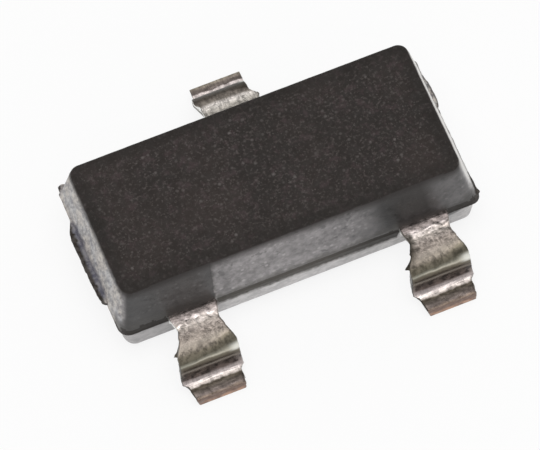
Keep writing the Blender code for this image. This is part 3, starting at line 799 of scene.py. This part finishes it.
def tin_material(name, settings, painted_reflections):
    """Matt tin plating with painted reflections and highlights along the strip, darker blotches on the drop
    and lower bend, and bare copper at the cut end.
    """
    material, bench = new_material(name, settings.tin_colour)
    place = bench.place_mm()
    drift = bench.sway(place, 10.0, 3.0, 0.018)
    along = bench.plus(bench.mark("strip_place"), drift)
    # Slant and widen the painted highlight line across the strip
    to_streak = bench.minus(PAINTED_HIGHLIGHT_LINE - 0.004, along)
    held = bench.maths("MINIMUM", bench.most(to_streak, 0.0), bench.span(along, 0.20, 0.30, 0.0, 0.09))
    pull = bench.times(held, bench.span(bench.mark("strip_across"), 0.0, 0.9, 0.0, 0.5))
    along = bench.plus(along, pull)
    across = bench.mark("strip_across")
    from_streak = bench.minus(along, PAINTED_HIGHLIGHT_LINE + 0.003)
    close = bench.span(bench.maths("ABSOLUTE", from_streak), 0.055, 0.0)
    widened = bench.times(close, bench.span(across, -0.9, 0.9, -0.60, 0.28))
    along = bench.minus(along, bench.times(from_streak, widened))
    wavy = bench.minus(bench.noise(place, 22.0, 3.0), 0.5)
    along = bench.plus(along, bench.times(wavy, bench.span(along, 0.52, 0.58, 0.0, 0.030)))

    stretched = bench.stretch(place, (1.0, 0.55, 0.8))
    mottle = bench.noise(stretched, 30.0, 4.0, 0.62, 0.4)
    grit = bench.noise(place, 85.0, 3.0, 0.6)
    grain_share = bench.span(along, 0.30, 0.36, 1.0, 0.35)
    dull = bench.mix(grain_share, settings.tin_colour, scaled(settings.tin_colour, 0.48))
    skin = bench.mix(bench.span(mottle, 0.36, 0.64), dull, settings.tin_colour)
    skin = bench.mix(bench.span(grit, 0.55, 0.8, 0.0, 0.6), skin, (0.84, 0.80, 0.77))
    # Painted highlights: broken bright glints on the neck beside the body
    broken = bench.times(bench.span(along, 0.03, 0.06), bench.span(along, 0.14, 0.10))
    glint = bench.times(bench.span(bench.noise(place, 20.0, 4.0), 0.44, 0.60, 0.0, 0.85), broken)
    skin = bench.mix(glint, skin, (0.95, 0.91, 0.89))
    drawn = bench.stretch(place, (1.0, 0.08, 0.08))
    lines = bench.noise(drawn, 52.0, 3.0, 0.6)
    streaky = bench.times(bench.span(lines, 0.42, 0.66), bench.span(along, 0.38, 0.46, 0.0, 0.45))
    skin = bench.mix(streaky, skin, scaled(settings.tin_colour, 0.55))
    # Darker blotches on the drop, and on the lower bend, where they break up the painted highlight
    blotched = bench.times(bench.span(along, 0.42, 0.45), bench.span(along, 0.56, 0.51))
    blotched = bench.plus(blotched, bench.times(bench.span(along, 0.60, 0.64, 0.0, 0.55),
                                            bench.span(along, 0.72, 0.70)))
    blotch = bench.times(bench.span(bench.noise(stretched, 19.0, 2.0), 0.46, 0.60, 0.0, 0.85), blotched)
    skin = bench.mix(blotch, skin, scaled(settings.tin_colour, 0.22))

    # Painted reflections: bright and dark bands along the strip
    stops = [(at / STRIP_REACH, tuple(c / BRIGHTEST_PAINTED_REFLECTION for c in colour)) for at, colour in painted_reflections]
    band = bench.ramp(bench.maths("DIVIDE", along, STRIP_REACH), stops)
    band = bench.tint(band, (BRIGHTEST_PAINTED_REFLECTION,) * 3)
    colour = bench.tint(skin, band)
    # A painted highlight line across the strip, bright towards its right edge and dark grey towards its
    # left
    streak = bench.span(bench.maths("ABSOLUTE", bench.minus(along, PAINTED_HIGHLIGHT_LINE)), 0.020, 0.006)
    faded = bench.times(streak, bench.span(across, -0.40, -0.95, 0.0, 0.55))
    colour = bench.mix(faded, colour, (0.25, 0.25, 0.21))
    bright = bench.times(streak, bench.span(across, 0.55, 0.90, 0.0, 0.65))
    colour = bench.mix(bright, colour, (0.98, 0.98, 0.92))

    # Sheared side faces, and bare copper at the cut end with the smeared tin of its upper edge
    side_dark = bench.mark("strip_side_dark")
    sheared = bench.mix(side_dark, (0.97, 0.97, 0.94), settings.burr_and_shade_colour)
    sheared = bench.tint(sheared, bench.span(side_dark, 1.2, 2.0, 1.0, 0.22))
    colour = bench.mix(bench.mark("strip_side"), colour, sheared)
    torn = bench.span(bench.noise(place, 15.0, 4.0), 0.38, 0.62)
    red, green, blue = settings.copper_colour
    copper = bench.mix(torn, settings.copper_colour, (red * 0.48, green * 0.50, blue * 0.55))
    smear = bench.span(bench.split(place)[2], 0.020, 0.075)
    copper = bench.mix(smear, copper, (0.16, 0.098, 0.072))
    colour = bench.mix(bench.mark("strip_end"), colour, copper)

    smooth = bench.span(along, 0.34, 0.40)
    bend = bench.times(bench.span(along, 0.50, 0.58), bench.span(along, 0.72, 0.69))
    roughness = bench.plus(bench.span(mottle, 0.3, 0.7, 0.34, 0.52), bench.times(smooth, -0.08))
    roughness = bench.plus(roughness, bench.times(bend, 0.10))
    depth = bench.minus(1.0, bench.times(bench.span(along, 0.28, 0.35), 0.80))
    relief = bench.plus(bench.times(mottle, 1.0), bench.times(grit, 0.7))
    relief = bench.times(relief, depth)
    finish_material(bench, colour, roughness, bench.bump(relief, 0.0030), 1.0)
    return material


def silicon_material(settings):
    """Polished silicon with a faint cloudy tone and a fine bump."""
    material, bench = new_material("silicon", settings.silicon_colour)
    place = bench.place_mm()
    cloud = bench.noise(place, 6.0, 2.0)
    colour = bench.mix(cloud, scaled(settings.silicon_colour, 0.8), settings.silicon_colour)
    saw = bench.noise(place, 120.0, 2.0)
    finish_material(bench, colour, bench.span(cloud, 0.3, 0.7, 0.16, 0.26), bench.bump(saw, 0.0003), 0.6)
    return material


def adhesive_material(settings):
    """Cured adhesive full of silver flakes."""
    material, bench = new_material("silver_filled_adhesive", settings.adhesive_colour)
    place = bench.place_mm()
    _, flake = bench.cells(place, 70.0)
    shade = bench.span(bench.split(flake)[0], 0.0, 1.0)
    colour = bench.mix(shade, scaled(settings.adhesive_colour, 0.6), settings.adhesive_colour)
    finish_material(bench, colour, bench.span(shade, 0.0, 1.0, 0.35, 0.6), bench.bump(shade, 0.0012), 0.35)
    return material


def gold_material(settings):
    """Drawn gold wire with fine marks of the die."""
    material, bench = new_material("gold_wire", settings.gold_colour)
    place = bench.place_mm()
    drawn = bench.noise(place, 140.0, 3.0)
    colour = bench.mix(drawn, scaled(settings.gold_colour, 0.85), settings.gold_colour)
    finish_material(bench, colour, bench.span(drawn, 0.3, 0.7, 0.16, 0.28), bench.bump(drawn, 0.0004), 1.0)
    return material


class BodyForm:
    """The moulded block's measures in millimetres and the rings of its surface."""

    UPPER_DRAFTS = (radians(6.0), radians(12.1))
    LOWER_DRAFTS = (radians(8.0), radians(1.5))
    LOWER_END_STEP = 0.022
    RIGHT_LEDGE = 0.037
    LEFT_LEDGE = 0.007
    CHIPPED_CORNER = 0.012
    TORN_CORNER = 0.062
    FRONT_CORNER = 0.09
    BACK_CORNER = 0.035
    RIDGE = 0.006
    RIDGE_HALF = 0.010
    FLASH_HALF = 0.0275
    PATCH_STEP = 0.0035
    PATCH_START = 0.62
    PATCH_FULL = 0.36
    BREAK_DEPTH = 0.0030
    FLASH_CORNER = 1.2
    CRUMBLED_CORNER = (1.28, 1.40)
    RIM_SLOPE = radians(8.0)
    TOP_FACING = 0.45
    LEFT_BREAK = 0.008
    RIGHT_BREAK = 0.041
    SEAM_BAND = (-0.004, 0.060)

    def __init__(self, settings, lead_centres, lead_half_width):
        self.half_length = settings.length / MM / 2
        self.half_width = settings.width / MM / 2
        self.top = settings.top / MM
        self.base = settings.standoff / MM
        self.parting = settings.parting / MM
        self.centre = settings.parting_centre / MM
        self.top_rim = settings.top_rim / MM
        self.base_rim = settings.base_rim / MM
        self.side_draft = settings.side_draft
        self.lead_width = 2 * lead_half_width
        self.lead_edges = [centre + lead_half_width for centre in lead_centres]
        self.pin_gap = (lead_centres[0] + lead_half_width, lead_centres[1] - lead_half_width)

    def inset(self, height, draft, step=0.0):
        """How far a wall is drawn in at a height, with its rim rounded."""
        upper = height >= self.parting
        rim = self.top_rim if upper else self.base_rim
        away = abs(height - self.parting)
        end = (self.top if upper else self.base) - self.parting
        rim_start = abs(end) - rim * (1 - sin(draft))
        drawn = away * tan(draft) - step
        if away <= rim_start:
            return drawn
        centre = rim_start * tan(draft) - step + rim * cos(draft)
        over = min(away - (abs(end) - rim), rim)
        return centre - sqrt(max(rim * rim - over * over, 0.0))

    def heights(self):
        """Heights of the rings, closest at the rims and the parting line."""
        places = []
        for step in range(RIM_STEPS + 1):
            angle = self.RIM_SLOPE + (pi / 2 - self.RIM_SLOPE) * (1 - step / RIM_STEPS)
            places.append(self.base + self.base_rim * (1 - sin(angle)))
        low_wall = places[-1]
        flash = self.FLASH_HALF
        below = self.parting - flash - 0.006
        for step in range(LOWER_WALL_STEPS):
            places.append(lerp(low_wall, below, (step + 1) / LOWER_WALL_STEPS))
        steps = (0.005, self.RIDGE_HALF, 0.018, flash - 0.004, flash)
        for offset in (*(-step for step in reversed(steps)), 0.0, *steps, flash + 0.006):
            places.append(self.parting + offset)
        high_wall = self.top - self.top_rim * (1 - sin(self.RIM_SLOPE))
        start = places[-1]
        for step in range(UPPER_WALL_STEPS):
            places.append(lerp(start, high_wall, (step + 1) / UPPER_WALL_STEPS))
        for step in range(1, RIM_STEPS + 1):
            angle = self.RIM_SLOPE + (pi / 2 - self.RIM_SLOPE) * step / RIM_STEPS
            places.append(self.top - self.top_rim * (1 - sin(angle)))
        return places

    def outline(self, height):
        """Points round the body at a height, from the middle of the front left corner."""
        upper = height >= self.parting
        drafts = self.UPPER_DRAFTS if upper else self.LOWER_DRAFTS
        below = self.parting - height
        step = 0.0 if upper else self.LOWER_END_STEP * smooth_step(0.0, self.RIDGE_HALF, below)
        ridge = self.RIDGE * (1 - smooth_step(0.0, self.RIDGE_HALF, abs(below)))
        ledge = 1 - smooth_step(0.0, self.FLASH_HALF, below)
        left = self.centre - self.half_length + self.inset(height, drafts[0]) - ridge
        left -= self.LEFT_LEDGE * ledge
        right = self.centre + self.half_length + self.RIGHT_LEDGE * ledge
        right += ridge - self.inset(height, drafts[1], step)
        sides = self.half_width - self.inset(height, self.side_draft) + ridge
        away = abs(below) / (self.top - self.parting if upper else self.parting - self.base)
        rim = self.inset(height, self.side_draft) - abs(below) * tan(self.side_draft)
        front = max(self.FRONT_CORNER - rim, 0.01)
        back = max(lerp(self.BACK_CORNER, self.FRONT_CORNER, away) - rim, 0.01)
        chipped = max(lerp(self.CHIPPED_CORNER, self.FRONT_CORNER, away) - rim, 0.01)
        off_flash = smooth_step(0.0, self.FLASH_HALF, abs(below))
        torn = lerp(min(self.TORN_CORNER, front), front, off_flash)
        corners = (
            (left, -sides, front), (right, -sides, torn), (right, sides, back), (left, sides, chipped),
        )
        return rounded_ring(corners, (BODY_LONG_STEPS, BODY_SHORT_STEPS) * 2, HALF_CORNER_STEPS)

    def broken_resin(self, point, side):
        """The point moved out on to the broken resin, and whether it is on it."""
        if side == 0:
            if point.x <= self.FLASH_CORNER:
                return point, 0.0
            side = 1
        table, ragged, axis, sign = RESIN_BREAKS[side]
        place = point.y if axis == 0 else point.x
        out = follow_table(table, place)
        if out is None:
            return point, 0.0
        thin = self.FLASH_HALF * (0.84 + 0.14 * rough((place, 0.3 * sign, 2.0), 16.0, 3.0))
        away = abs(point.z - self.parting - 0.006 * grain((place, 1.0, 0.0), 9.0, 5.0))
        cover = 1 - smooth_step(thin - 0.004, thin, away)
        foot = 1 - smooth_step(thin, thin + 0.010, away)
        if foot <= 0:
            return point, 0.0
        torn = out + ragged * rough((place, point.z * 3.0, 0.0), 28.0, 11.0) * smooth_step(0.0, 0.03, out)
        torn -= 0.25 * out * (away / self.FLASH_HALF) ** 2
        wall = self.half_length if axis == 0 else self.half_width
        current = sign * point[axis]
        reached = lerp(current, max(current, wall + torn), cover)
        moved = point.copy()
        moved[axis] = sign * reached

        # How dark the break is, and how far its darkness goes up to the foot of the wall
        if side == 3:
            darkness, climb = 0.95, 0.0
        elif side == 2:
            darkness, climb = lerp(0.30, 1.3, smooth_step(-1.405, -1.432, place)), 0.0
        else:
            climb = smooth_step(-0.38, -0.50, place)
            darkness = lerp(lerp(0.95, 0.55, smooth_step(0.10, 0.25, place)), 1.5, climb)
        stands = lerp(reached - current, max(wall + torn - current, 0.0), climb)
        solid = smooth_step(0.008, 0.036, stands) if side == 3 else smooth_step(0.002, 0.012, stands)
        return moved, darkness * solid * lerp(1.0 if cover > 0 else 0.0, foot, climb)

    def in_break(self, x, z):
        """How far inside the break between pins 1 and 2 a point of the front wall is."""
        start, end = self.pin_gap
        share = min(max((x - start) / (end - start), 0.0), 1.0)
        low = self.parting - BREAK_MARGIN - lerp(*BREAK_DROPS, share)
        high = self.parting + BREAK_RISE
        along = smooth_step(start - 0.004, start + 0.012, x) * smooth_step(end + 0.004, end - 0.012, x)
        return along * smooth_step(low - 0.006, low + 0.008, z) * smooth_step(high + 0.012, high - 0.012, z)

    def wall_detail(self, point, outward, side):
        """Small unevenness of the moulded walls, and the pads above pins 1 and 2."""
        wall = smooth_step(self.base, self.base + 0.03, point.z) * smooth_step(self.top, self.top - 0.03,
                                                                               point.z)
        depth = 0.0016 * rough(point, 9.0, 1.0) + 0.0008 * grain(point, 40.0, 2.0)
        if side in (1, 3):
            depth += 0.0024 * rough(point, 24.0, 4.0, 2)
        if side == 0:
            if abs(point.z - self.parting) < self.FLASH_HALF:
                crumbled = smooth_step(*self.CRUMBLED_CORNER, point.x)
                depth += 0.012 * crumbled * max(rough(point, 26.0, 13.0), 0.0)
            torn = -self.BREAK_DEPTH - self.RIDGE + 0.0022 * rough(point, 34.0, 9.0)
            depth = lerp(depth, torn, self.in_break(point.x, point.z))
            if point.z > self.parting + 0.012:
                for edge in self.lead_edges:
                    share = smooth_step(edge - self.PATCH_START, edge - self.PATCH_FULL, point.x)
                    share *= smooth_step(edge + 0.006, edge - 0.006, point.x)
                    depth = lerp(depth, -self.PATCH_STEP, share)
        return point + outward * depth * wall

    def finish_of(self, centre, normal):
        """Which finish a face has: 0 for the matt top, 1 for the walls, 2 for broken resin."""
        if normal.z > self.TOP_FACING and centre.z > self.top - self.top_rim:
            return 0
        along = centre.x - self.centre
        if along < -self.half_length - self.LEFT_BREAK or along > self.half_length + self.RIGHT_BREAK:
            return 2
        over = centre.z - self.parting
        if normal.y < -0.5:
            ragged = 0.45 * rough(centre, 26.0, 17.0, 2)
            if self.in_break(centre.x, centre.z) + ragged > 0.5:
                return 2
            start, end = self.pin_gap
            outside = not start - self.lead_width <= centre.x <= end + self.lead_width
            if outside and self.SEAM_BAND[0] < over < self.SEAM_BAND[1] * (1 + ragged):
                return 2
        return 1

    def surface(self):
        """All rings, and how much of each point is broken resin."""
        rings = []
        marks = []
        for height in self.heights():
            ring = []
            for flat, outward, side in self.outline(height):
                point = self.wall_detail(Vector((*flat, height)), outward.to_3d(), side)
                point, broken = self.broken_resin(point, side)
                ring.append(point)
                marks.append(broken)
            rings.append(ring)
        return rings, marks


class StripForm:
    """The formed strip of a lead in millimetres."""

    def __init__(self, body, leads):
        self.body_side = body.width / MM / 2
        self.top = (body.parting + leads.rise) / MM
        self.thickness = leads.thickness / MM
        self.half_width = leads.width / MM / 2
        self.edge_radius = leads.edge_radius / MM
        middle = (leads.bend_radius + leads.thickness / 2) / MM
        angle = leads.drop_angle
        foot = leads.foot_length / MM
        descent = self.top - self.thickness
        drop = (descent - 2 * middle * (1 - cos(angle))) / sin(angle)
        reach = 2 * middle * sin(angle) + drop * cos(angle)
        shoulder = leads.toe_span / MM / 2 - self.body_side - reach - foot
        bend = middle * angle
        self.runs = ((shoulder, 0.0), (bend, angle), (drop, 0.0), (bend, -angle), (foot, 0.0))
        self.length = sum(run for run, _ in self.runs)

    def station(self, place):
        """Centre point (out, height) and slope at a place along the strip."""
        out = self.body_side
        height = self.top - self.thickness / 2
        slope = 0.0
        if place <= 0:
            return out + place, height, slope
        left = place
        for length, turn in self.runs:
            run = min(left, length)
            if turn:
                radius = length / turn
                after = slope + turn * run / length
                out += radius * (sin(after) - sin(slope))
                height -= radius * (cos(slope) - cos(after))
                slope = after
            else:
                out += run * cos(slope)
                height -= run * sin(slope)
            left -= run
            if left <= 0:
                break
        return out, height, slope

    def reach(self, place, edge):
        """How far one edge lies from the centre line at a place."""
        reach = self.half_width + edge[0][1]
        for (start, before), (end, after) in zip(edge, edge[1:]):
            reach += (after - before) * smooth_step(start, end, place)
        return reach

    def section(self, left, right):
        """Points round the strip's section as (point, outward, side), from the lower left corner."""
        half = self.thickness / 2
        flat = ((-left, -half), (right, -half), (right, half), (-left, half))
        corners = [(*corner, self.edge_radius) for corner in flat]
        return rounded_ring(corners, (STRIP_WIDTH_STEPS, STRIP_THICKNESS_STEPS) * 2, STRIP_CORNER_STEPS)


def strip_surface(form, name, centre, sign, edges, inner):
    """Rings of a lead up to its toe, and the place, side share, darkness and place across of each point."""
    rings = []
    marks = []
    trim = edges[2]
    steps = round((form.length - trim) / STRIP_STEP)
    places = [(place, (half, half)) for place, half in inner]
    for step in range(steps + 1):
        place = (form.length - trim) * step / steps
        places.append((place, (form.reach(place, edges[0]), form.reach(place, edges[1]))))
    for place, (left, right) in places:
        out, height, slope = form.station(place)
        ring = []
        for flat, _, face in form.section(left, right):
            across, through = flat
            outside = smooth_step(-0.01, 0.01, place)
            burr = 0.0
            seed = (centre + across, place * sign, through)
            if face == 2:
                share = across / (left if across < 0 else right)
                through += outside * strip_top_detail(share, place, seed)
            elif face == 0:
                through -= 0.0012 * outside * rough(seed, 20.0, 4.0)
            if across < 0:
                lean = FRONT_LEAN if sign < 0 else BACK_LEAN
                across += lean * outside * (0.5 - through / form.thickness) * min(-across / left, 1.0)
            if face in (1, 3):
                tooth = 0.0030 * rough((place * 2.0, through, centre), 30.0, 8.0)
                burrs = RIGHT_BURRS[name] if face == 1 else LEFT_BURRS[name]
                for start, end, stands, level in burrs:
                    share = (place - start) / (end - start)
                    spread = abs(through / (form.thickness / 2) - level)
                    if 0 < share < 1 and spread < 0.8:
                        jag = 1 + 0.35 * grain((place, through, start), 110.0)
                        tooth += stands * share ** 1.4 * (1 - (spread / 0.8) ** 2) * jag
                        burr = smooth_step(0.0, 0.2, share)
                across += (tooth if face == 1 else -tooth) * outside
            ring.append(Vector((
                centre + across,
                sign * (out + through * sin(slope)),
                height + through * cos(slope))))
            lower_left = face == 0 and across < LOWER_LEFT_BAND - left
            tone = follow_table(SIDE_TONES[name][0 if face == 3 or lower_left else 1], max(place, 0.0))
            tone = max(tone, BURR_TONE * burr) if face or (lower_left and sign > 0) else UNDERSIDE_TONE
            sheared = 0.0 if face == 2 else 1.0
            # Painted shade on a front lead's left side below the upper bend
            if face == 3 and sign < 0:
                tone = lerp(tone, LEFT_SIDE_SHADE_TONE, smooth_step(0.31, 0.38, place))
            if face == 2 and name in EDGE_SHADES:
                start, end, inmost = EDGE_SHADES[name]
                tone = EDGE_DARK_TONE
                sheared = 0.90 * smooth_step(start, start + 0.05, place)
                sheared *= smooth_step(end, end - 0.06, place)
                sheared *= smooth_step(inmost, inmost - 0.25, across / left + 0.15 * grain(seed, 12.0, 4.0))
            marks.append((place, sheared, tone, across / right))
        rings.append(ring)
    return rings, marks


def strip_top_detail(across, place, seed):
    """Resin bleed by the body, plating grain and the marks of the forming tool on the strip's top."""
    bleed_edge = 0.055 + 0.030 * rough((across * 2.0, 0.0, seed[0]), 2.2, 6.0)
    bleed = 0.007 * (1 - smooth_step(bleed_edge - 0.014, bleed_edge, place))
    lumps = 0.0014 * rough(seed, 34.0, 2.0) * smooth_step(0.02, 0.05, place)
    lumps *= 1 - smooth_step(0.24, 0.32, place)
    neck = smooth_step(0.03, 0.07, place) * smooth_step(0.13, 0.08, place)
    lumps += 0.0050 * max(rough(seed, 34.0, 9.0), 0.0) * neck
    tool = 0.0016 * grain((seed[0], seed[1] * 3.0, 0.0), 14.0, 3.0) * smooth_step(0.30, 0.38, place)
    mark_place = 0.408 + 0.006 * grain((seed[0], 0.0, 0.0), 6.0)
    tool -= 0.0045 * max(1 - abs(place - mark_place) / 0.011, 0.0)
    tool += 0.0035 * max(1 - abs(place - mark_place - 0.016) / 0.012, 0.0)
    return bleed + lumps + tool


def set_marks(mesh, name, values):
    """Keep a number on each point of a mesh; points without one get the last."""
    layer = mesh.attributes.new(name, "FLOAT", "POINT")
    padded = list(values) + [values[-1]] * (len(mesh.vertices) - len(values))
    layer.data.foreach_set("value", padded)


def box_centre(node):
    """Middle of a node's box along the body, in millimetres."""
    low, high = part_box(node)
    return (low[0] + high[0]) / 2 / MM


def inner_places(node, form):
    """Places and half widths of a lead inside the body, read from the node's box."""
    low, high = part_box(node)
    half = (high[0] - low[0]) / 2 / MM
    if node == "lead_pin_3_with_die_pad":
        start = low[1] / MM - form.body_side
        end = low[1] / MM + PAD_LENGTH - form.body_side
    else:
        start = -high[1] / MM - form.body_side
        end = -FINGER_NECK
    return (start, half), (end, half), (end + WIDTH_CHANGE, form.half_width)


def front_lead_centres():
    """Centres of pins 1 and 2 along the body, in millimetres."""
    return [box_centre("lead_pin_1"), box_centre("lead_pin_2")]


class REGULATOR_OT_moulded_body(bpy.types.Operator):
    """Build the moulded body with its broken resin"""

    bl_idname = "regulator.moulded_body"
    bl_label = "Moulded body"
    bl_options = {"REGISTER", "UNDO"}

    def execute(self, context):
        settings = context.scene.regulator_body
        half_width = context.scene.regulator_leads.width / MM / 2
        centres = front_lead_centres()
        form = BodyForm(settings, centres, half_width)
        rings, marks = form.surface()

        def base_shape(point, u, v):
            return point + Vector((0, 0, 0.0012 * rough(point, 5.0, 12.0) * off_edge(u, v, 0.05)))

        def top_shape(point, u, v):
            ripple = 0.0009 * rough(point, 12.0, 21.0) + 0.0012 * grain(point, 2.0, 3.0)
            return point + Vector((0, 0, ripple * off_edge(u, v, 0.05)))

        mesh = shell_mesh("moulded_body", rings, BODY_LONG_STEPS, BODY_SHORT_STEPS, base_shape, top_shape)
        set_marks(mesh, "broken_resin", marks + [0.0])
        for face in mesh.polygons:
            face.material_index = form.finish_of(face.center / MM, face.normal)
        materials = [moulding_material(settings, form.pin_gap, *finish) for finish in RESIN_FINISHES]
        add_piece("moulded_body", mesh, materials, "mould_body", BODY_SHARP_ANGLE)
        return {"FINISHED"}


class REGULATOR_OT_leads(bpy.types.Operator):
    """Build the three stamped and formed leads"""

    bl_idname = "regulator.leads"
    bl_label = "Leads"
    bl_options = {"REGISTER", "UNDO"}

    def execute(self, context):
        settings = context.scene.regulator_leads
        form = StripForm(context.scene.regulator_body, settings)
        finishes = {-1: tin_material("tinned_front_leads", settings, FRONT_PAINTED_REFLECTIONS),
                    1: tin_material("tinned_back_lead", settings, BACK_PAINTED_REFLECTIONS)}
        for name, node, sign, edges in LEADS:
            centre = box_centre(node)
            rings, marks = strip_surface(form, name, centre, sign, edges, inner_places(node, form))
            if sign > 0:
                rings.reverse()
            count = len(rings[0])

            def keep(point, u, v):
                return point

            def toe(point, u, v):
                return point + Vector((0, sign * 0.003 * rough(point, 40.0, 5.0) * off_edge(u, v, 0.1), 0))

            ends = (keep, toe) if sign < 0 else (toe, keep)
            mesh = shell_mesh(name, rings, STRIP_WIDTH_STEPS, STRIP_THICKNESS_STEPS, *ends)
            mark_strip(mesh, marks, count, sign)
            add_piece(name, mesh, [finishes[sign]], node, STRIP_SHARP_ANGLE)
        return {"FINISHED"}


def mark_strip(mesh, marks, count, sign):
    """Keep the place along the strip, its sheared sides and the cut end on a lead's points."""
    cap = (STRIP_WIDTH_STEPS - 1) * (STRIP_THICKNESS_STEPS - 1)
    inner_end = (marks[0][0], 0.0, 0.0, 0.0)
    toe_end = (marks[-1][0], 0.0, 0.0, 0.0)
    if sign > 0:
        rows = [marks[start:start + count] for start in range(0, len(marks), count)]
        marks = [mark for row in reversed(rows) for mark in row]
        inner_end, toe_end = toe_end, inner_end
    cut = [0.0] * len(marks) + [1.0 if sign > 0 else 0.0] * cap + [0.0 if sign > 0 else 1.0] * cap
    marks = marks + [inner_end] * cap + [toe_end] * cap
    for layer, name in enumerate(("strip_place", "strip_side", "strip_side_dark", "strip_across")):
        set_marks(mesh, name, [mark[layer] for mark in marks])
    set_marks(mesh, "strip_end", cut)


class REGULATOR_OT_inside(bpy.types.Operator):
    """Finish the die, its adhesive and the bond wires inside the body"""

    bl_idname = "regulator.inside"
    bl_label = "Die and bond wires"
    bl_options = {"REGISTER", "UNDO"}

    def execute(self, context):
        settings = context.scene.regulator_inside
        gold = gold_material(settings)
        finishes = {
            "silicon_die": silicon_material(settings),
            "die_attach": adhesive_material(settings),
            "bond_wire_pin_1": gold,
            "bond_wire_pin_2": gold,
            "bond_wire_pin_3": gold,
        }
        for node, material in finishes.items():
            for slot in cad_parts[node].material_slots:
                slot.material = material
        return {"FINISHED"}


class REGULATOR_OT_stage(bpy.types.Operator):
    """Set the pale floor, the soft light and the camera"""

    bl_idname = "regulator.stage"
    bl_label = "Stage"
    bl_options = {"REGISTER", "UNDO"}

    def execute(self, context):
        settings = context.scene.regulator_stage
        build_floor(settings)
        build_sky(context.scene, settings)
        build_key_lamp(context.scene, settings)
        build_camera(context.scene, settings)
        context.scene.view_settings.view_transform = "Standard"
        return {"FINISHED"}


def build_floor(settings):
    """A white floor that glows to the camera and still keeps a soft shadow."""
    half = settings.floor_size / 2
    mesh = bpy.data.meshes.new("pale_floor")
    corners = [(-half, -half, 0), (half, -half, 0), (half, half, 0), (-half, half, 0)]
    mesh.from_pydata(corners, [], [(0, 1, 2, 3)])
    floor = bpy.data.objects.new("pale_floor", mesh)
    bpy.context.scene.collection.objects.link(floor)
    material, bench = new_material("pale_floor", settings.floor_colour)
    matt = bench.put("ShaderNodeBsdfDiffuse", {"Color": settings.floor_colour})
    glow = bench.put("ShaderNodeEmission", {"Color": (1.0, 1.0, 1.0), "Strength": 1.0})
    path = bench.put("ShaderNodeLightPath").outputs
    seen = bench.plus(path["Is Camera Ray"], path["Is Glossy Ray"])
    seen = bench.maths("ADD", seen, path["Is Transmission Ray"], True)
    share = bench.times(seen, 1.0 - settings.floor_shadow)
    both = bench.put("ShaderNodeMixShader", {0: share, 1: matt.outputs[0], 2: glow.outputs[0]})
    bench.feed(bench.put("ShaderNodeOutputMaterial").inputs["Surface"], both.outputs[0])
    mesh.materials.append(material)


def build_sky(scene, settings):
    """Plain pale surroundings, white at the horizon and greyer overhead."""
    world = bpy.data.worlds.new("soft_surroundings")
    world.use_nodes = True
    bench = NodeBench(world)
    direction = bench.put("ShaderNodeTexCoord").outputs["Generated"]
    height = bench.split(direction)[2]
    shade = bench.span(height, *HORIZON_HEIGHTS)
    colour = bench.mix(shade, (1.0, 1.0, 1.0), (settings.sky_strength,) * 3)
    background = bench.put("ShaderNodeBackground", {"Color": colour, "Strength": 1.0})
    bench.feed(bench.put("ShaderNodeOutputWorld").inputs["Surface"], background.outputs[0])
    scene.world = world


def build_key_lamp(scene, settings):
    """A soft round lamp overhead, a little to the front."""
    data = bpy.data.lights.new("overhead_lamp", "AREA")
    data.shape = "DISK"
    data.size = settings.key_size
    data.energy = settings.key_power
    lamp = bpy.data.objects.new("overhead_lamp", data)
    scene.collection.objects.link(lamp)
    direction = Vector(KEY_DIRECTION).normalized()
    lamp.location = direction * KEY_DISTANCE
    lamp.rotation_euler = direction.to_track_quat("Z", "Y").to_euler()


def build_camera(scene, settings):
    """The camera at the photograph's viewing angle."""
    data = bpy.data.cameras.new("camera")
    data.sensor_width = 36.0
    data.lens = settings.lens
    data.clip_start = 0.005
    data.clip_end = 2.0
    camera = bpy.data.objects.new("camera", data)
    scene.collection.objects.link(camera)
    right = Vector(settings.camera_right).normalized()
    down = Vector(settings.camera_down).normalized()
    back = right.cross(-down).normalized()
    up = back.cross(right)
    turn = Matrix((right, up, back)).transposed().to_4x4()
    camera.matrix_world = Matrix.Translation(Vector(settings.camera_place)) @ turn
    scene.camera = camera


class REGULATOR_PT_builder(bpy.types.Panel):
    """Lists the pieces of the regulator and their settings"""

    bl_idname = "REGULATOR_PT_builder"
    bl_label = "Low-dropout regulator"
    bl_space_type = "VIEW_3D"
    bl_region_type = "UI"
    bl_category = "Regulator"

    def draw(self, context):
        layout = self.layout
        scene = context.scene
        rows = (
            (REGULATOR_OT_moulded_body, scene.regulator_body),
            (REGULATOR_OT_leads, scene.regulator_leads),
            (REGULATOR_OT_inside, scene.regulator_inside),
            (REGULATOR_OT_stage, scene.regulator_stage),
        )
        for operator, settings in rows:
            box = layout.box()
            box.operator(operator.bl_idname)
            for key in settings.__annotations__:
                box.prop(settings, key)


SETTINGS = {
    "regulator_body": RegulatorBodySettings,
    "regulator_leads": RegulatorLeadSettings,
    "regulator_inside": RegulatorInsideSettings,
    "regulator_stage": RegulatorStageSettings,
}
CLASSES = (
    *SETTINGS.values(),
    REGULATOR_OT_moulded_body,
    REGULATOR_OT_leads,
    REGULATOR_OT_inside,
    REGULATOR_OT_stage,
    REGULATOR_PT_builder,
)


def register():
    for item in CLASSES:
        bpy.utils.register_class(item)
    for key, group in SETTINGS.items():
        setattr(bpy.types.Scene, key, bpy.props.PointerProperty(type=group))


def unregister():
    for key in SETTINGS:
        delattr(bpy.types.Scene, key)
    for item in reversed(CLASSES):
        bpy.utils.unregister_class(item)


def main():
    register()
    bpy.ops.regulator.moulded_body()
    bpy.ops.regulator.leads()
    bpy.ops.regulator.inside()
    bpy.ops.regulator.stage()


if __name__ == "__main__":
    main()
